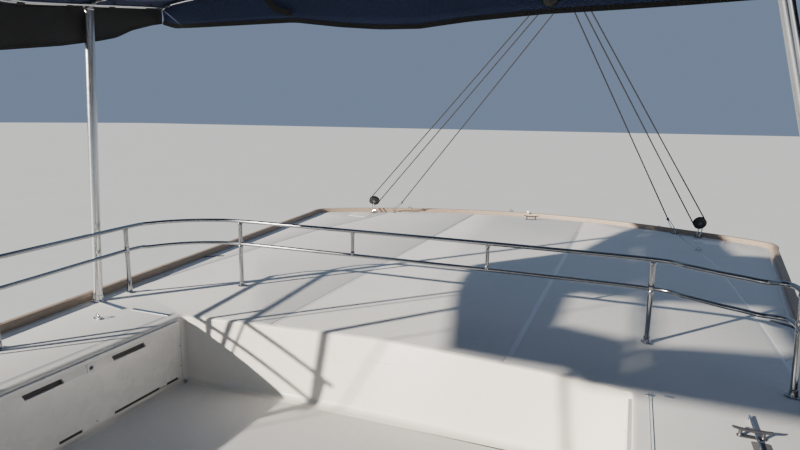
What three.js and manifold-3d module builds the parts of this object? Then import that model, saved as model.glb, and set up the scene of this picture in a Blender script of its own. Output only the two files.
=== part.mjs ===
// Sailing catamaran with a flybridge, cruising size, afloat.
// Millimetres. +X is forward, +Y is port, +Z is up.
// The origin is on the centreline, amidships, on the waterline.
import * as THREE from "three";
import { mergeVertices } from "three/addons/utils/BufferGeometryUtils.js";
import Module from "manifold-3d";

const wasm = await Module();
wasm.setup();

// Driving dimensions
const GAP = 0.3; // between pieces that touch
const HULL_Y = 3700; // hull centreline off the boat's centreline
const STERN_X = -9800;
const BOW_X = 9700;
const DECK_Z = 1800; // aft deck on the hulls
const FLOOR_Z = 1300; // cockpit and saloon sole
const BRIDGE_UNDER_Z = 820;
const ROOF_UNDER_Z = 3600;
const ROOF_Z = 3750; // flybridge deck
const KEEL_Z = -1400;
const WELL = { aft: -2757, fore: 1670, half: 1677, floor: 3245, wall: 40 };
const BULKHEAD_X = -2890; // aft face of the saloon
const HOUSE_WALL = 70;
const GLASS = 12;
const MAST = { x: 3050, top: 26500, long: 210, wide: 120, hounds: 23500 };
const BOOM = { pinX: 2750, z: 7150, aft: -6950, high: 160, wide: 100, restDeg: -4 };
const BIMINI = {
  aft: -3700,
  bend: -2200, // aft of here the roof rises
  fore: 2250,
  half: 2600,
  edge: 6080,
  crown: 170,
  lift: 210, // of the aft edge over the level part
  skin: 15,
  foreHem: 5900,
  aftHem: 6055,
  sideHem: 5710,
};
const RAIL = { top: 607, mid: 400, tube: 13, post: 16 };
const SHROUD = { x: 1500, y: 4560, radius: 8 };

// Colour, roughness and metalness of each finish
const FINISH = {
  gelcoat: [0xe9e9e4, 0.35, 0],
  nonskid: [0xd9dad6, 0.8, 0],
  steel: [0xc9ccd0, 0.2, 1],
  aluminium: [0xc4c8cc, 0.4, 0.9],
  teak: [0x9a6a42, 0.6, 0],
  glass: [0x1c2226, 0.1, 0],
  canvas: [0x1a2444, 0.9, 0],
  sailcloth: [0xe4e4e0, 0.8, 0],
  net: [0x9aa0a6, 0.9, 0],
  cushion: [0xc9c6bc, 0.9, 0],
  bronze: [0xa9824a, 0.35, 1],
  antifoul: [0x27324a, 0.8, 0],
  engine: [0x8d9296, 0.6, 0.3],
  black: [0x17181a, 0.5, 0],
  interior: [0xb08a62, 0.6, 0],
};

// Shapes as manifold solids

const solidOf = (geometry) => {
  const plain = geometry.index ? geometry.toNonIndexed() : geometry;
  const bare = new THREE.BufferGeometry().setAttribute("position", plain.getAttribute("position"));
  const merged = mergeVertices(bare, 1e-3);
  return new wasm.Manifold(
    new wasm.Mesh({
      numProp: 3,
      vertProperties: merged.attributes.position.array,
      triVerts: new Uint32Array(merged.index.array),
    }),
  );
};

const geometryOf = (solid) => {
  const mesh = solid.getMesh();
  const points = new Float32Array(mesh.numVert * 3);
  for (let i = 0; i < mesh.numVert; i++)
    points.set(mesh.vertProperties.subarray(i * mesh.numProp, i * mesh.numProp + 3), i * 3);
  return new THREE.BufferGeometry()
    .setAttribute("position", new THREE.BufferAttribute(points, 3))
    .setIndex(new THREE.BufferAttribute(new Uint32Array(mesh.triVerts), 1));
};

// A box between two corners.
const box = (low, high) => {
  const size = high.map((h, i) => h - low[i]);
  const g = new THREE.BoxGeometry(...size);
  g.translate(...high.map((h, i) => (h + low[i]) / 2));
  return solidOf(g);
};

// A closed outline pushed along one axis, from one place to another.
// The outline's two numbers are the other two axes in X, Y, Z order.
const prism = (outline, axis, from, to) => {
  const shape = new THREE.Shape(outline.map(([a, b]) => new THREE.Vector2(a, b)));
  const g = new THREE.ExtrudeGeometry(shape, { depth: to - from, bevelEnabled: false });
  g.translate(0, 0, from);
  if (axis === "x") g.applyMatrix4(new THREE.Matrix4().set(0, 0, 1, 0, 1, 0, 0, 0, 0, 1, 0, 0, 0, 0, 0, 1));
  if (axis === "y") {
    g.applyMatrix4(new THREE.Matrix4().set(1, 0, 0, 0, 0, 0, -1, 0, 0, 1, 0, 0, 0, 0, 0, 1));
    g.translate(0, from + to, 0);
  }
  return solidOf(g);
};

// A round bar between two points, with its second radius if it tapers.
const rod = (a, b, radius, sides = 8, radiusB = radius) => {
  const from = new THREE.Vector3(...a);
  const to = new THREE.Vector3(...b);
  const along = to.clone().sub(from);
  const g = new THREE.CylinderGeometry(radiusB, radius, along.length(), sides);
  g.applyQuaternion(new THREE.Quaternion().setFromUnitVectors(new THREE.Vector3(0, 1, 0), along.normalize()));
  g.translate(...from.add(to).multiplyScalar(0.5).toArray());
  return solidOf(g);
};

const join = (...solids) => solids.flat(Infinity).reduce((sum, s) => sum.add(s));
const cut = (solid, ...tools) => tools.flat(Infinity).reduce((left, t) => left.subtract(t), solid);

// The same solid placed by a three.js matrix; a mirror image has its triangles turned round.
const placed = (solid, ...matrices) => {
  const matrix = matrices.reduce((product, m) => product.multiply(m), new THREE.Matrix4());
  const g = geometryOf(solid).applyMatrix4(matrix);
  const corners = g.index.array;
  if (matrix.determinant() < 0)
    for (let i = 0; i < corners.length; i += 3) [corners[i], corners[i + 1]] = [corners[i + 1], corners[i]];
  return solidOf(g);
};
const moveBy = (x, y, z) => new THREE.Matrix4().makeTranslation(x, y, z);
const turnX = (degrees) => new THREE.Matrix4().makeRotationX(THREE.MathUtils.degToRad(degrees));
const turnZ = (degrees) => new THREE.Matrix4().makeRotationZ(THREE.MathUtils.degToRad(degrees));
const mirrorY = (solid) => placed(solid, new THREE.Matrix4().makeScale(1, -1, 1));

// Rings of the same number of points, joined side to side and closed at both ends.
// Each ring goes round the same way.
const loft = (rings) => {
  const n = rings[0].length;
  const triangles = [];
  const quad = (a, b, c, d) => triangles.push(a, b, c, a, c, d);
  for (let r = 0; r + 1 < rings.length; r++)
    for (let i = 0; i < n; i++) {
      const j = (i + 1) % n;
      quad(rings[r][i], rings[r][j], rings[r + 1][j], rings[r + 1][i]);
    }
  const cap = (ring, flip) => {
    const middle = ring.reduce((m, p) => m.map((v, k) => v + p[k] / n), [0, 0, 0]);
    for (let i = 0; i < n; i++) {
      const j = (i + 1) % n;
      triangles.push(...(flip ? [ring[j], ring[i], middle] : [ring[i], ring[j], middle]));
    }
  };
  cap(rings[0], true);
  cap(rings[rings.length - 1], false);
  const g = new THREE.BufferGeometry();
  g.setAttribute("position", new THREE.Float32BufferAttribute(triangles.flat(), 3));
  const made = solidOf(g);
  if (made.volume() > 0) return made;
  const turned = [];
  for (let i = 0; i < triangles.length; i += 3) turned.push(triangles[i], triangles[i + 2], triangles[i + 1]);
  const h = new THREE.BufferGeometry();
  h.setAttribute("position", new THREE.Float32BufferAttribute(turned.flat(), 3));
  return solidOf(h);
};

// A round bar along points, mitred at each corner.
const bar = (points, radius, sides = 8) => {
  const at = points.map((p) => new THREE.Vector3(...p));
  const heading = at.slice(1).map((p, i) => p.clone().sub(at[i]).normalize());
  const side = new THREE.Vector3(0, 0, 1).cross(heading[0]);
  if (side.length() < 0.1) side.set(1, 0, 0);
  side.normalize();
  const up = heading[0].clone().cross(side);
  let ring = [...Array(sides)].map((_, i) => {
    const a = ((i + 0.5) * 2 * Math.PI) / sides;
    return at[0]
      .clone()
      .addScaledVector(side, Math.cos(a) * radius)
      .addScaledVector(up, Math.sin(a) * radius);
  });
  const rings = [ring];
  for (let i = 1; i < at.length; i++) {
    const plane = heading[i] ? heading[i].clone().add(heading[i - 1]).normalize() : heading[i - 1];
    ring = ring.map((p) => {
      const far = at[i].clone().sub(p).dot(plane) / heading[i - 1].dot(plane);
      return p.clone().addScaledVector(heading[i - 1], far);
    });
    rings.push(ring);
  }
  return loft(rings.map((r) => r.map((p) => p.toArray())));
};

// A straight-line reading of a table whose first column rises.
const lookUp = (table, at, column) => {
  const rows = table.map((row) => row.slice()).sort((a, b) => a[0] - b[0]);
  if (at <= rows[0][0]) return rows[0][column];
  for (let i = 1; i < rows.length; i++)
    if (at <= rows[i][0]) {
      const share = (at - rows[i - 1][0]) / (rows[i][0] - rows[i - 1][0]);
      return rows[i - 1][column] + share * (rows[i][column] - rows[i - 1][column]);
    }
  return rows[rows.length - 1][column];
};

// Hulls

// x, half beam at deck, half beam at waterline, depth of the canoe body, height of the deck
const HULL_TABLE = [
  [STERN_X, 860, 640, -150, DECK_Z],
  [-8600, 980, 770, -420, DECK_Z],
  [-7200, 1050, 830, -570, DECK_Z],
  [-5000, 1095, 850, -680, DECK_Z],
  [-2000, 1100, 850, -720, DECK_Z],
  [1000, 1090, 820, -720, DECK_Z + 20],
  [3500, 1040, 740, -700, DECK_Z + 90],
  [5500, 930, 600, -670, DECK_Z + 170],
  [7200, 740, 420, -620, DECK_Z + 250],
  [8600, 460, 230, -560, DECK_Z + 320],
  [9350, 220, 100, -500, DECK_Z + 360],
  [BOW_X, 60, 36, -440, DECK_Z + 380],
];
// from keel to deck edge: share of the deck's half beam over the waterline's,
// then share of the depth or height
const HULL_SECTION = [
  { half: (deck, water) => 0.45 * water, z: (keel) => 0.95 * keel },
  { half: (deck, water) => 0.84 * water, z: (keel) => 0.6 * keel },
  { half: (deck, water) => water, z: () => 0 },
  { half: (deck, water) => water + 0.42 * (deck - water), z: (keel, top) => 0.32 * top },
  { half: (deck, water) => water + 0.86 * (deck - water), z: (keel, top) => 0.42 * top },
  { half: (deck) => deck, z: (keel, top) => 0.72 * top },
  { half: (deck) => 0.985 * deck, z: (keel, top) => top },
];

const hullBody = (grow) =>
  loft(
    HULL_TABLE.map(([x, deck, water, keel, top]) => {
      const side = HULL_SECTION.map((s) => [s.half(deck, water) + grow, s.z(keel, top)]);
      side[side.length - 1][1] += grow;
      const outer = side.map(([y, z]) => [x, HULL_Y + y, z]);
      const inner = side.map(([y, z]) => [x, HULL_Y - y, z]).reverse();
      return [[x, HULL_Y, keel - grow], ...outer, ...inner];
    }),
  );

const ENGINE_BAY = { aft: -7650, fore: -6150, half: 520, floor: -300 };
const RUDDER = { x: -8450, stock: 30, clear: 1 };
// fore edge of each stern step, and its height
const STERN_STEPS = [
  [-9150, 420],
  [-8780, 760],
  [-8410, 1110],
  [-8040, 1455],
];
const SCOOP = { half: 640, footZ: 700, foreX: -7950, overZ: 2400, reach: 1300 };

const hull = () => {
  const scoop = prism(
    [
      [STERN_X - 10, SCOOP.footZ],
      [SCOOP.foreX, DECK_Z],
      [SCOOP.foreX, SCOOP.overZ],
      [STERN_X - 10, SCOOP.overZ],
    ],
    "y",
    HULL_Y - SCOOP.reach,
    HULL_Y + SCOOP.reach,
  );
  const steps = STERN_STEPS.map(([fore, z], i) =>
    box(
      [i ? STERN_STEPS[i - 1][0] - 10 : STERN_X - 10, HULL_Y - SCOOP.half, z],
      [fore, HULL_Y + SCOOP.half, SCOOP.overZ],
    ),
  );
  const bay = box(
    [ENGINE_BAY.aft, HULL_Y - ENGINE_BAY.half, ENGINE_BAY.floor],
    [ENGINE_BAY.fore, HULL_Y + ENGINE_BAY.half, 2400],
  );
  const stock = rod([RUDDER.x, HULL_Y, -900], [RUDDER.x, HULL_Y, 60], RUDDER.stock + RUDDER.clear, 16);
  return cut(join(hullBody(0), keel()), scoop, steps, bay, stock, driveTrunk(GAP));
};

const grownHulls = () => {
  const one = hullBody(GAP);
  return [one, mirrorY(one)];
};

// The drive goes down through the hull's bottom in a square trunk, under the engine.
const DRIVE = { x: -6720, trunk: 130, shaftZ: -1010, hub: 55, hubLong: 210 };
const driveTrunk = (grow) =>
  box(
    [DRIVE.x - DRIVE.trunk - grow, HULL_Y - DRIVE.trunk / 2 - grow, -900],
    [DRIVE.x + DRIVE.trunk + grow, HULL_Y + DRIVE.trunk / 2 + grow, ENGINE_BAY.floor + 40],
  );
const engine = () => {
  const block = box(
    [ENGINE_BAY.aft + 280, HULL_Y - 290, ENGINE_BAY.floor + GAP],
    [ENGINE_BAY.fore - 180, HULL_Y + 290, ENGINE_BAY.floor + 760],
  );
  const trunk = box(
    [DRIVE.x - DRIVE.trunk, HULL_Y - DRIVE.trunk / 2, -650],
    [DRIVE.x + DRIVE.trunk, HULL_Y + DRIVE.trunk / 2, ENGINE_BAY.floor + 40],
  );
  const ring = (z, nose, chord, half) => foilPlan(nose, chord, half).map(([x, y]) => [x, y + HULL_Y, z]);
  const leg = loft([ring(DRIVE.shaftZ, DRIVE.x + 200, 380, 42), ring(-625, DRIVE.x + 160, 300, 48)]);
  const pod = rod(
    [DRIVE.x - DRIVE.hubLong, HULL_Y, DRIVE.shaftZ],
    [DRIVE.x + DRIVE.hubLong, HULL_Y, DRIVE.shaftZ],
    DRIVE.hub,
    12,
    DRIVE.hub * 0.4,
  );
  return join(block, trunk, leg, pod);
};

const ENGINE_HATCH = { lip: 45, thick: 40 };
const engineHatch = () =>
  box(
    [ENGINE_BAY.aft - ENGINE_HATCH.lip, HULL_Y - ENGINE_BAY.half - ENGINE_HATCH.lip, DECK_Z + GAP],
    [
      ENGINE_BAY.fore + ENGINE_HATCH.lip,
      HULL_Y + ENGINE_BAY.half + ENGINE_HATCH.lip,
      DECK_Z + ENGINE_HATCH.thick,
    ],
  );

// Underwater parts

const FOIL = [[0, 0], [0.04, 0.34], [0.18, 0.86], [0.36, 1], [0.62, 0.72], [0.85, 0.3], [1, 0.03]];
// A foil plan, nose at the fore end, as [x, y] points.
const foilPlan = (noseX, chord, half) => [
  ...FOIL.map(([along, out]) => [noseX - along * chord, out * half]),
  ...FOIL.slice(1)
    .reverse()
    .map(([along, out]) => [noseX - along * chord, -out * half]),
];

const keel = () => {
  const ring = (z, nose, chord, half) => foilPlan(nose, chord, half).map(([x, y]) => [x, y + HULL_Y, z]);
  return loft([ring(KEEL_Z, 1900, 3100, 120), ring(-560, 2700, 4500, 190)]);
};

const rudder = () => {
  const ring = (z, nose, chord, half) => foilPlan(nose, chord, half).map(([x, y]) => [x, y + HULL_Y, z]);
  const blade = loft([ring(-1330, RUDDER.x + 110, 420, 32), ring(-540, RUDDER.x + 190, 640, 46)]);
  return join(blade, rod([RUDDER.x, HULL_Y, -560], [RUDDER.x, HULL_Y, 40], RUDDER.stock, 16));
};

const PROPELLER = {
  x: DRIVE.x - DRIVE.hubLong - GAP,
  radius: 250,
  hub: 52,
  long: 150,
  blade: 12,
  blades: 3,
  pitchDeg: 58,
};
// half of a blade's outline: place along the chord, then distance from the shaft
const BLADE_OUTLINE = [
  [-28, 30],
  [-62, 120],
  [-66, 175],
  [-45, 228],
  [0, PROPELLER.radius],
  [40, 232],
  [58, 180],
  [52, 120],
  [28, 30],
];
const propeller = () => {
  const hub = rod([0, 0, 0], [-PROPELLER.long, 0, 0], PROPELLER.hub, 12, PROPELLER.hub * 0.6);
  const flat = prism(BLADE_OUTLINE, "y", -PROPELLER.blade / 2, PROPELLER.blade / 2);
  const blades = [...Array(PROPELLER.blades)].map((_, i) =>
    placed(
      flat,
      turnX((360 / PROPELLER.blades) * i),
      moveBy(-PROPELLER.long / 2, 0, 0),
      turnZ(PROPELLER.pitchDeg),
    ),
  );
  return placed(join(hub, blades), moveBy(PROPELLER.x, HULL_Y, DRIVE.shaftZ));
};

// Platform between the hulls

const BRIDGE = { aft: -8300, seat: -7650, seatTop: 1720, fore: 5950, half: 3000 };
// The foredeck between the hulls, as x and height; the saloon's sole is let down into it.
const FOREDECK = [[-300, 1811], [3500, 1890], [BRIDGE.fore, 1991]];
const foredeckBlock = (grow) => {
  const top = FOREDECK.map(([x, z]) => [x, z + grow]).reverse();
  const under = FLOOR_Z - 10;
  const outline = [[FOREDECK[0][0] - grow, under], [BRIDGE.fore + grow, under], ...top];
  return prism(outline, "y", -BRIDGE.half, BRIDGE.half);
};
const saloonWell = () => loft([FLOOR_Z, 2500].map((z) => houseRing(z, 0, 1, HOUSE_WALL + 15)));
const bridgeDeck = () => {
  const profile = [
    [BRIDGE.aft, BRIDGE_UNDER_Z + 120],
    [BRIDGE.aft + 500, BRIDGE_UNDER_Z],
    [BRIDGE.fore - 700, BRIDGE_UNDER_Z],
    [BRIDGE.fore, BRIDGE_UNDER_Z + 480],
    [BRIDGE.fore, FLOOR_Z],
    [BRIDGE.seat, FLOOR_Z],
    [BRIDGE.seat, BRIDGE.seatTop],
    [BRIDGE.aft, BRIDGE.seatTop],
  ];
  const platform = prism(profile, "y", -BRIDGE.half, BRIDGE.half);
  return cut(join(platform, cockpitSeat(), foredeckBlock(0)), saloonWell(), grownHulls());
};

const BEAM = { x: 9000, z: 1990, radius: 105, half: 3600 };
const beamTube = (grow) =>
  rod([BEAM.x, -BEAM.half, BEAM.z], [BEAM.x, BEAM.half, BEAM.z], BEAM.radius + grow, 12);
const crossbeam = () => cut(beamTube(0), grownHulls());

const CATWALK = { half: 170, top: 1990, thick: 120 };
const catwalk = () =>
  cut(
    box(
      [BRIDGE.fore + GAP, -CATWALK.half, CATWALK.top - CATWALK.thick],
      [BEAM.x + 320, CATWALK.half, CATWALK.top],
    ),
    rod([BEAM.x, -3600, BEAM.z], [BEAM.x, 3600, BEAM.z], BEAM.radius + GAP, 12),
    box([BEAM.x - 40, -200, BEAM.z - 140], [BEAM.x + 400, 200, BEAM.z - 60]),
    box([BEAM.x - GAP, -200, BEAM.z - 200], [BEAM.x + 400, 200, BEAM.z + 200]),
  );

const NET = { below: 70, thick: 14, outY: 3900 };
const net = () =>
  cut(
    prism(
      [
        [BRIDGE.fore + GAP, CATWALK.half + GAP],
        [BEAM.x - BEAM.radius - GAP, CATWALK.half + GAP],
        [BEAM.x - BEAM.radius - GAP, NET.outY],
        [BRIDGE.fore + GAP, NET.outY],
      ],
      "z",
      CATWALK.top - NET.below,
      CATWALK.top - NET.below + NET.thick,
    ),
    grownHulls(),
  );

// Saloon walls: the outline of the house, starboard aft to port aft, at its foot and at the roof

// foot x, foot half width, top x, top half width
const HOUSE_TABLE = [
  [BULKHEAD_X, 2740, BULKHEAD_X, 2520],
  [-300, 2720, -400, 2330],
  [2700, 2520, 2300, 2080],
  [4500, 1830, 3500, 1480],
  [5450, 700, 4150, 600],
];
const HOUSE_FOOT_Z = 1740;

// The half outline and its mirror image, set in by a distance square to each side.
// Its aft side stays where it is.
const houseRing = (z, xColumn, yColumn, inset) => {
  const side = HOUSE_TABLE.map((row) => [row[xColumn], row[yColumn]]);
  const whole = [...side, ...side.map(([x, y]) => [x, -y]).reverse()];
  const moved = whole.map((p, i) => {
    const aft = i === 0 || i === whole.length - 1;
    const before = whole[Math.max(0, i - 1)];
    const after = whole[Math.min(whole.length - 1, i + 1)];
    const unit = (a, b) => {
      const d = Math.hypot(b[0] - a[0], b[1] - a[1]) || 1;
      return [(b[1] - a[1]) / d, -(b[0] - a[0]) / d];
    };
    if (aft) {
      const n = i === 0 ? unit(p, after) : unit(before, p);
      return [p[0], p[1] + (n[1] * inset) / Math.abs(n[1]) ** 2];
    }
    const n1 = unit(before, p);
    const n2 = unit(p, after);
    const m = [n1[0] + n2[0], n1[1] + n2[1]];
    const scale = (2 * inset) / (m[0] * m[0] + m[1] * m[1]);
    return [p[0] + m[0] * scale, p[1] + m[1] * scale];
  });
  return moved.map(([x, y]) => [x, y, z]);
};

const houseBody = (inset) =>
  loft([houseRing(HOUSE_FOOT_Z, 0, 1, inset), houseRing(ROOF_UNDER_Z, 2, 3, inset)]);

// A shell between two insets, open at the aft side and at top and bottom.
const houseShell = (outer, inner) => {
  const reach = 400;
  const core = loft([
    houseRing(HOUSE_FOOT_Z, 0, 1, inner).map(([x, y]) => [x, y, HOUSE_FOOT_Z]),
    houseRing(ROOF_UNDER_Z, 2, 3, inner).map(([x, y]) => [x, y, ROOF_UNDER_Z]),
  ]);
  const aftSlice = core.intersect(box([BULKHEAD_X - 1, -4000, 0], [BULKHEAD_X + 20, 4000, 5000]));
  return cut(houseBody(outer), core, placed(aftSlice, moveBy(-10, 0, 0)), capPlates(inner, reach));
};

// Thin slices of the core pushed past the shell's top and bottom, so that both are left open.
const capPlates = (inner, reach) => {
  const top = houseRing(ROOF_UNDER_Z, 2, 3, inner);
  const foot = houseRing(HOUSE_FOOT_Z, 0, 1, inner);
  return [
    loft([top.map(([x, y]) => [x, y, ROOF_UNDER_Z - 1]), top.map(([x, y]) => [x, y, ROOF_UNDER_Z + reach])]),
    loft([HOUSE_FOOT_Z - reach, HOUSE_FOOT_Z + 1].map((z) => foot.map(([x, y]) => [x, y, z]))),
  ];
};

const WINDOW = { low: 2330, high: 3300, rim: 70, pillar: 75, aft: -2320 };
// The walls are made in three parts, which meet in the pillar at this row's corner.
const SPLIT = { row: HOUSE_TABLE[2], ahead: 20 };
const aheadOfSplit = (gap) => {
  const [footX, , topX] = SPLIT.row;
  const slope = (topX - footX) / (ROOF_UNDER_Z - HOUSE_FOOT_Z);
  const x = (z) => footX + slope * (z - HOUSE_FOOT_Z) + SPLIT.ahead + gap;
  return prism([[x(0), 0], [9000, 0], [9000, 5000], [x(5000), 5000]], "y", -4000, 4000);
};
// The band of bonded glass, and the openings under it that leave a pillar at each corner of the house.
const glassBand = (margin, fore, aft) =>
  box([aft + margin, -4000, WINDOW.low + margin], [fore - margin, 4000, WINDOW.high - margin]);

// The house's corners at one height, from port aft to starboard aft.
const houseCorners = (z) => {
  const share = (z - HOUSE_FOOT_Z) / (ROOF_UNDER_Z - HOUSE_FOOT_Z);
  const side = HOUSE_TABLE.map(([x0, y0, x1, y1]) => [x0 + (x1 - x0) * share, y0 + (y1 - y0) * share]);
  return [...side, ...side.map(([x, y]) => [x, -y]).reverse()];
};
const windowOpenings = () => {
  const reach = 250;
  const level = (i, z) => {
    const corners = houseCorners(z);
    const [a, b] = [corners[i], corners[i + 1]];
    const length = Math.hypot(b[0] - a[0], b[1] - a[1]);
    const t = [(b[0] - a[0]) / length, (b[1] - a[1]) / length];
    const atBulkhead = WINDOW.aft + WINDOW.rim - BULKHEAD_X;
    const start = i === 0 ? atBulkhead : WINDOW.pillar;
    const end = i === corners.length - 2 ? atBulkhead : WINDOW.pillar;
    const at = (along, out) => [a[0] + t[0] * along + t[1] * out, a[1] + t[1] * along - t[0] * out, z];
    return [at(start, -reach), at(length - end, -reach), at(length - end, reach), at(start, reach)];
  };
  const count = 2 * HOUSE_TABLE.length - 1;
  const heights = [WINDOW.low + WINDOW.rim, WINDOW.high - WINDOW.rim];
  return [...Array(count)].map((_, i) => loft(heights.map((z) => level(i, z))));
};

const PORT_HALF = () => box([-9000, 0, 0], [9000, 4000, 5000]);
const houseWalls = () => {
  const rebate = houseShell(-5, GLASS + GAP).intersect(glassBand(-1, 6000, WINDOW.aft));
  const walls = cut(houseShell(0, HOUSE_WALL), rebate, windowOpenings(), grownHulls(), foredeckBlock(GAP));
  return {
    side: cut(walls.intersect(PORT_HALF()), aheadOfSplit(0)),
    front: walls.intersect(aheadOfSplit(GAP)),
  };
};
const houseGlass = () => {
  const skin = houseShell(0, GLASS).intersect(glassBand(GAP, 6000, WINDOW.aft));
  return {
    side: cut(skin.intersect(PORT_HALF()), aheadOfSplit(0)),
    front: skin.intersect(aheadOfSplit(GAP)),
  };
};

// Aft bulkhead, its windows and the sliding door

const DOOR = { half: 700, low: FLOOR_Z + 30, high: 3300, leaf: 36, overlap: 30, travel: 700 };
const BETWEEN_HULLS = 2595; // half the width between the hulls there
const BULKHEAD_PANE = { near: 930, far: 2330, low: 2150, high: 3240 };
const bulkhead = () => {
  const [, foot, , top] = HOUSE_TABLE[0];
  const share = (z) => (z - HOUSE_FOOT_Z) / (ROOF_UNDER_Z - HOUSE_FOOT_Z);
  const at = (z) => foot + (top - foot) * share(z) - HOUSE_WALL - 8;
  const side = [
    [BETWEEN_HULLS, FLOOR_Z + GAP],
    [BETWEEN_HULLS, DECK_Z + GAP],
    [at(DECK_Z), DECK_Z + GAP],
    [at(ROOF_UNDER_Z - GAP), ROOF_UNDER_Z - GAP],
  ];
  const outline = [...side, ...side.map(([y, z]) => [-y, z]).reverse()];
  const wall = prism(outline, "x", BULKHEAD_X, BULKHEAD_X + 60);
  const holes = [
    box([BULKHEAD_X - 50, -DOOR.half, DOOR.low], [BULKHEAD_X + 100, DOOR.half, DOOR.high]),
    ...[1, -1].map((s) =>
      box(
        [BULKHEAD_X - 50, Math.min(s * BULKHEAD_PANE.near, s * BULKHEAD_PANE.far), BULKHEAD_PANE.low],
        [BULKHEAD_X + 100, Math.max(s * BULKHEAD_PANE.near, s * BULKHEAD_PANE.far), BULKHEAD_PANE.high],
      ),
    ),
  ];
  const track = box(
    [BULKHEAD_X - 66, -DOOR.half - 60, DOOR.high + 42],
    [BULKHEAD_X + 10, DOOR.half + 700, DOOR.high + 90],
  );
  const leaf = doorFrame(...FIXED);
  return join(cut(join(wall, track), holes, grownHulls()), leaf);
};

const bulkheadPane = () =>
  box(
    [BULKHEAD_X + 20, BULKHEAD_PANE.near + GAP, BULKHEAD_PANE.low + GAP],
    [BULKHEAD_X + 30, BULKHEAD_PANE.far - GAP, BULKHEAD_PANE.high - GAP],
  );

const FRAME_BAR = 75;
const doorFrame = (x, yLow, yHigh, zLow, zHigh) =>
  cut(
    box([x, yLow, zLow], [x + DOOR.leaf, yHigh, zHigh]),
    box(
      [x - 5, yLow + FRAME_BAR, zLow + FRAME_BAR],
      [x + DOOR.leaf + 5, yHigh - FRAME_BAR, zHigh - FRAME_BAR],
    ),
  );
const doorPane = (x, yLow, yHigh, zLow, zHigh) =>
  box(
    [x + 12, yLow + FRAME_BAR + GAP, zLow + FRAME_BAR + GAP],
    [x + 22, yHigh - FRAME_BAR - GAP, zHigh - FRAME_BAR - GAP],
  );
// The sliding leaf stands open, in front of the fixed one.
const SLIDING = [
  BULKHEAD_X - DOOR.leaf - 8,
  DOOR.travel - DOOR.half - 30,
  DOOR.travel + DOOR.overlap,
  FLOOR_Z + 8,
  DOOR.high + 42 - GAP,
];
const FIXED = [BULKHEAD_X + 12, DOOR.overlap - 60, DOOR.half + 20, DOOR.low - 15, DOOR.high + 20];

// Flybridge deck, its well and lockers

// x, half width of the roof
const ROOF_TABLE = [
  [4750, 400],
  [4500, 1050],
  [3900, 1600],
  [3000, 2050],
  [1500, 2300],
  [-500, 2430],
  [-2000, 2580],
  [-7400, 3250],
  [-7640, 3300],
  [-7790, 3285],
  [-7900, 3200],
  [-8100, 2900],
  [-8340, 2450],
  [-8630, 1800],
  [-8866, 1000],
];
const ROOF_AFT_X = -8981;
const roofOutline = (inset) => {
  const port = ROOF_TABLE.map(([x, y]) => [x, y]);
  const whole = [...port, [ROOF_AFT_X, 0], ...port.map(([x, y]) => [x, -y]).reverse()];
  const middle = [(ROOF_AFT_X + ROOF_TABLE[0][0]) / 2, 0];
  return whole.map(([x, y], i) => {
    if (!inset) return [x, y];
    const before = whole[(i + whole.length - 1) % whole.length];
    const after = whole[(i + 1) % whole.length];
    const normal = (a, b) => {
      const d = Math.hypot(b[0] - a[0], b[1] - a[1]);
      return [-(b[1] - a[1]) / d, (b[0] - a[0]) / d];
    };
    const n1 = normal(before, [x, y]);
    const n2 = normal([x, y], after);
    const m = [n1[0] + n2[0], n1[1] + n2[1]];
    const toMiddle = m[0] * (middle[0] - x) + m[1] * (middle[1] - y) > 0 ? 1 : -1;
    const scale = (2 * inset * toMiddle) / (m[0] * m[0] + m[1] * m[1]);
    return [x + m[0] * scale, y + m[1] * scale];
  });
};

const roofDeck = () =>
  cut(
    prism(roofOutline(0), "z", ROOF_UNDER_Z + GAP, ROOF_Z),
    box([WELL.aft, -WELL.half, 3000], [WELL.fore, WELL.half, 4000]),
  );

const LOCKER = { aft: -2600, fore: -1100, low: 3330, high: 3580, depth: 560, wall: 20, end: 50 };
const lockerMouth = (side) => {
  const near = side * (WELL.half - WELL.wall - 10);
  const far = side * (WELL.half + 10);
  return box(
    [LOCKER.aft, Math.min(near, far), LOCKER.low],
    [LOCKER.fore, Math.max(near, far), LOCKER.high],
  );
};
const wellTub = () => {
  const outside = box(
    [WELL.aft + GAP, -WELL.half + GAP, WELL.floor - WELL.wall],
    [WELL.fore - GAP, WELL.half - GAP, ROOF_Z],
  );
  const inside = box(
    [WELL.aft + WELL.wall, -WELL.half + WELL.wall, WELL.floor],
    [WELL.fore - WELL.wall, WELL.half - WELL.wall, 4000],
  );
  return cut(outside, inside, lockerMouth(1), lockerMouth(-1));
};

const lockerBox = () => {
  const near = WELL.half;
  const far = WELL.half + LOCKER.depth;
  const outside = box(
    [LOCKER.aft - LOCKER.end, near, LOCKER.low - LOCKER.wall],
    [LOCKER.fore + LOCKER.end, far, ROOF_UNDER_Z],
  );
  const inside = box([LOCKER.aft, near - 10, LOCKER.low], [LOCKER.fore, far - LOCKER.wall, LOCKER.high]);
  return cut(outside, inside);
};

// The drop-down door: two grip slots high up, and two notches in its foot for the hinges.
const LOCKER_DOOR = {
  aft: -2665,
  fore: -1035,
  low: 3265,
  high: 3730,
  thick: 22,
  slotZ: 3668,
  slotHalf: 11,
  notchHigh: 14,
  notchDeep: 8,
};
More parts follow.
